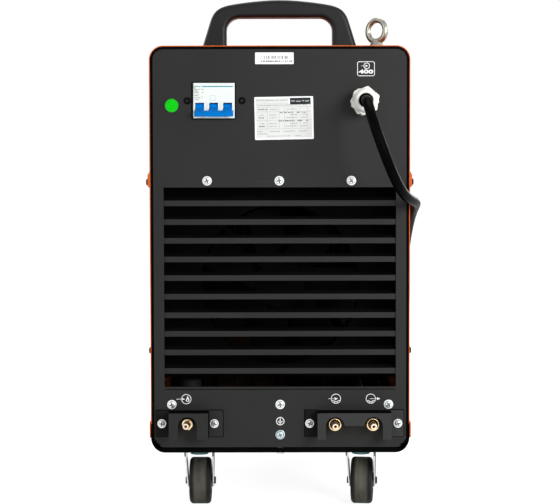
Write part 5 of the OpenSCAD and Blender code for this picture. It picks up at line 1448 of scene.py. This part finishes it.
def cord():
    """The supply cord as one curve, with its bare end and its tie."""
    data = bpy.data.curves.new("supply_cord", "CURVE")
    data.dimensions = "3D"
    line = cord_line()
    path = data.splines.new("POLY")
    path.points.add(len(line) - 1)
    for point, v in zip(path.points, line):
        point.co = (*(v * MM), 1)
    data.bevel_depth = CORD_D / 2 * MM
    data.bevel_resolution = 6
    data.use_fill_caps = True
    data.materials.append(M["cord"])
    ob = show("supply_cord", data)
    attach(ob, "machine")
    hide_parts("power_cord", "power_cord_coil")

    # four cores with ferrules
    tip = line[-1]
    core_in, core_length, stagger = 2.45, 38, 4
    s = Shape()
    for i, (x, z) in enumerate(((-1, -1), (1, -1), (-1, 1), (1, 1))):
        at = (tip.x + core_in * x, tip.y, tip.z + core_in * z)
        end = core_length + stagger * x
        s.lathe([(0, -0.5), (2.05, -0.5), (2.1, 0), (2.1, end - 0.3), (1.9, end), (0, end)], at, n=24, mat=i)
        s.lathe([(0, end - 7), (2.1, end - 7), (2.1, end - 6.9), (1.7, end + 0.2), (1.3, end + 1),
                 (1.3, end + 11.8), (1.1, end + 12), (0, end + 12)], at, n=20, mat=4)
    cores = fine("cord_end", s, ["core_blue", "core_brown", "core_green", "core_black", "zinc"],
                 "core_sleeve", angle=32)
    tie = soften("cord_tie_fine", "cord_tie", "tie", "cord_rubber", bevel=0.25)


# ---------------- stage

def seen_rays(nt):
    """1 for a ray that shows the background: from the camera, off a glossy surface, or through glass."""
    rays = add_node(nt, "LightPath", {})
    total = rays["Is Camera Ray"]
    for name in ("Is Glossy Ray", "Is Transmission Ray"):
        total = add_node(nt, "Math", {0: total, 1: rays[name]}, operation="MAXIMUM")[0]
    return total


def white_floor():
    """A floor that shows white, and keeps the object's shadow."""
    mat = bpy.data.materials.new("pale_floor")
    mat.use_nodes = True
    nt = mat.node_tree
    bsdf = nt.nodes["Principled BSDF"]
    feed(nt, bsdf, {"Base Color": rgba(0.5), "Roughness": 0.9, "Specular IOR Level": 0.1})
    glow = add_node(nt, "Emission", {"Color": rgba(0.84), "Strength": seen_rays(nt)})[0]
    both = add_node(nt, "AddShader", {0: bsdf.outputs[0], 1: glow})[0]
    feed(nt, nt.nodes["Material Output"], {"Surface": both})
    mesh = bpy.data.meshes.new("floor")
    size = 40
    corners_of_floor = [(-size, -size, 0), (size, -size, 0), (size, size, 0), (-size, size, 0)]
    mesh.from_pydata(corners_of_floor, [], [(0, 1, 2, 3)])
    mesh.materials.append(mat)
    show("floor", mesh)


def white_world():
    """A white world that lights the object less than it shows."""
    world = bpy.data.worlds.new("studio")
    scene.world = world
    world.use_nodes = True
    nt = world.node_tree
    lit_by, shown = 0.28, 1.0
    strength = add_node(nt, "MapRange", {"Value": seen_rays(nt), "To Min": lit_by, "To Max": shown})["Result"]
    feed(nt, nt.nodes["Background"], {"Color": rgba(1), "Strength": strength})


def stage():
    """The floor, the world and six soft lamps, each with its size in metres and its power."""
    white_floor()
    white_world()
    for name, at, target, size, power in (
            ("key", (1.05, -1.95, 0.85), (0, -0.3, 0.35), 0.8, 33),
            ("fill", (-1.9, -2.1, 0.8), (0, -0.3, 0.3), 1.4, 12.5),
            ("top_fill", (0.1, 0.5, 2.7), (0, 0.1, 0.5), 1.4, 18),
            ("left_fill", (-2.7, 0.8, 1.3), (0, 0, 0.3), 1.4, 26),
            ("right_fill", (2.7, 0.6, 1.2), (0, 0, 0.3), 1.4, 22),
            ("front_fill", (0.9, 3.0, 1.3), (0, 0.3, 0.3), 1.8, 46)):
        data = bpy.data.lights.new(name, "AREA")
        data.shape = "SQUARE"
        data.size = size
        data.energy = power
        lamp = show(name, data)
        lamp.location = at
        lamp.rotation_euler = (Vector(target) - Vector(at)).to_track_quat("-Z", "Y").to_euler()


cord()
for build in (panels, cover, pan, louvre, guards, handle, eyes):
    build()
random_turns = random.Random(4)
rear_screws(random_turns)
earth_screw()
cover_screws(random_turns)
symbols()
random_strokes = random.Random(11)
stickers(random_strokes)
rating_plate(random_strokes)
for build in (breaker_body, breaker_toggle, breaker_print_and_shade, gland, air_fitting, water_fittings, casters,
              fascia, display, knob, switches, lead_sockets, torch_connector, torch_water_ports, front_marks,
              inside, stage):
    build()
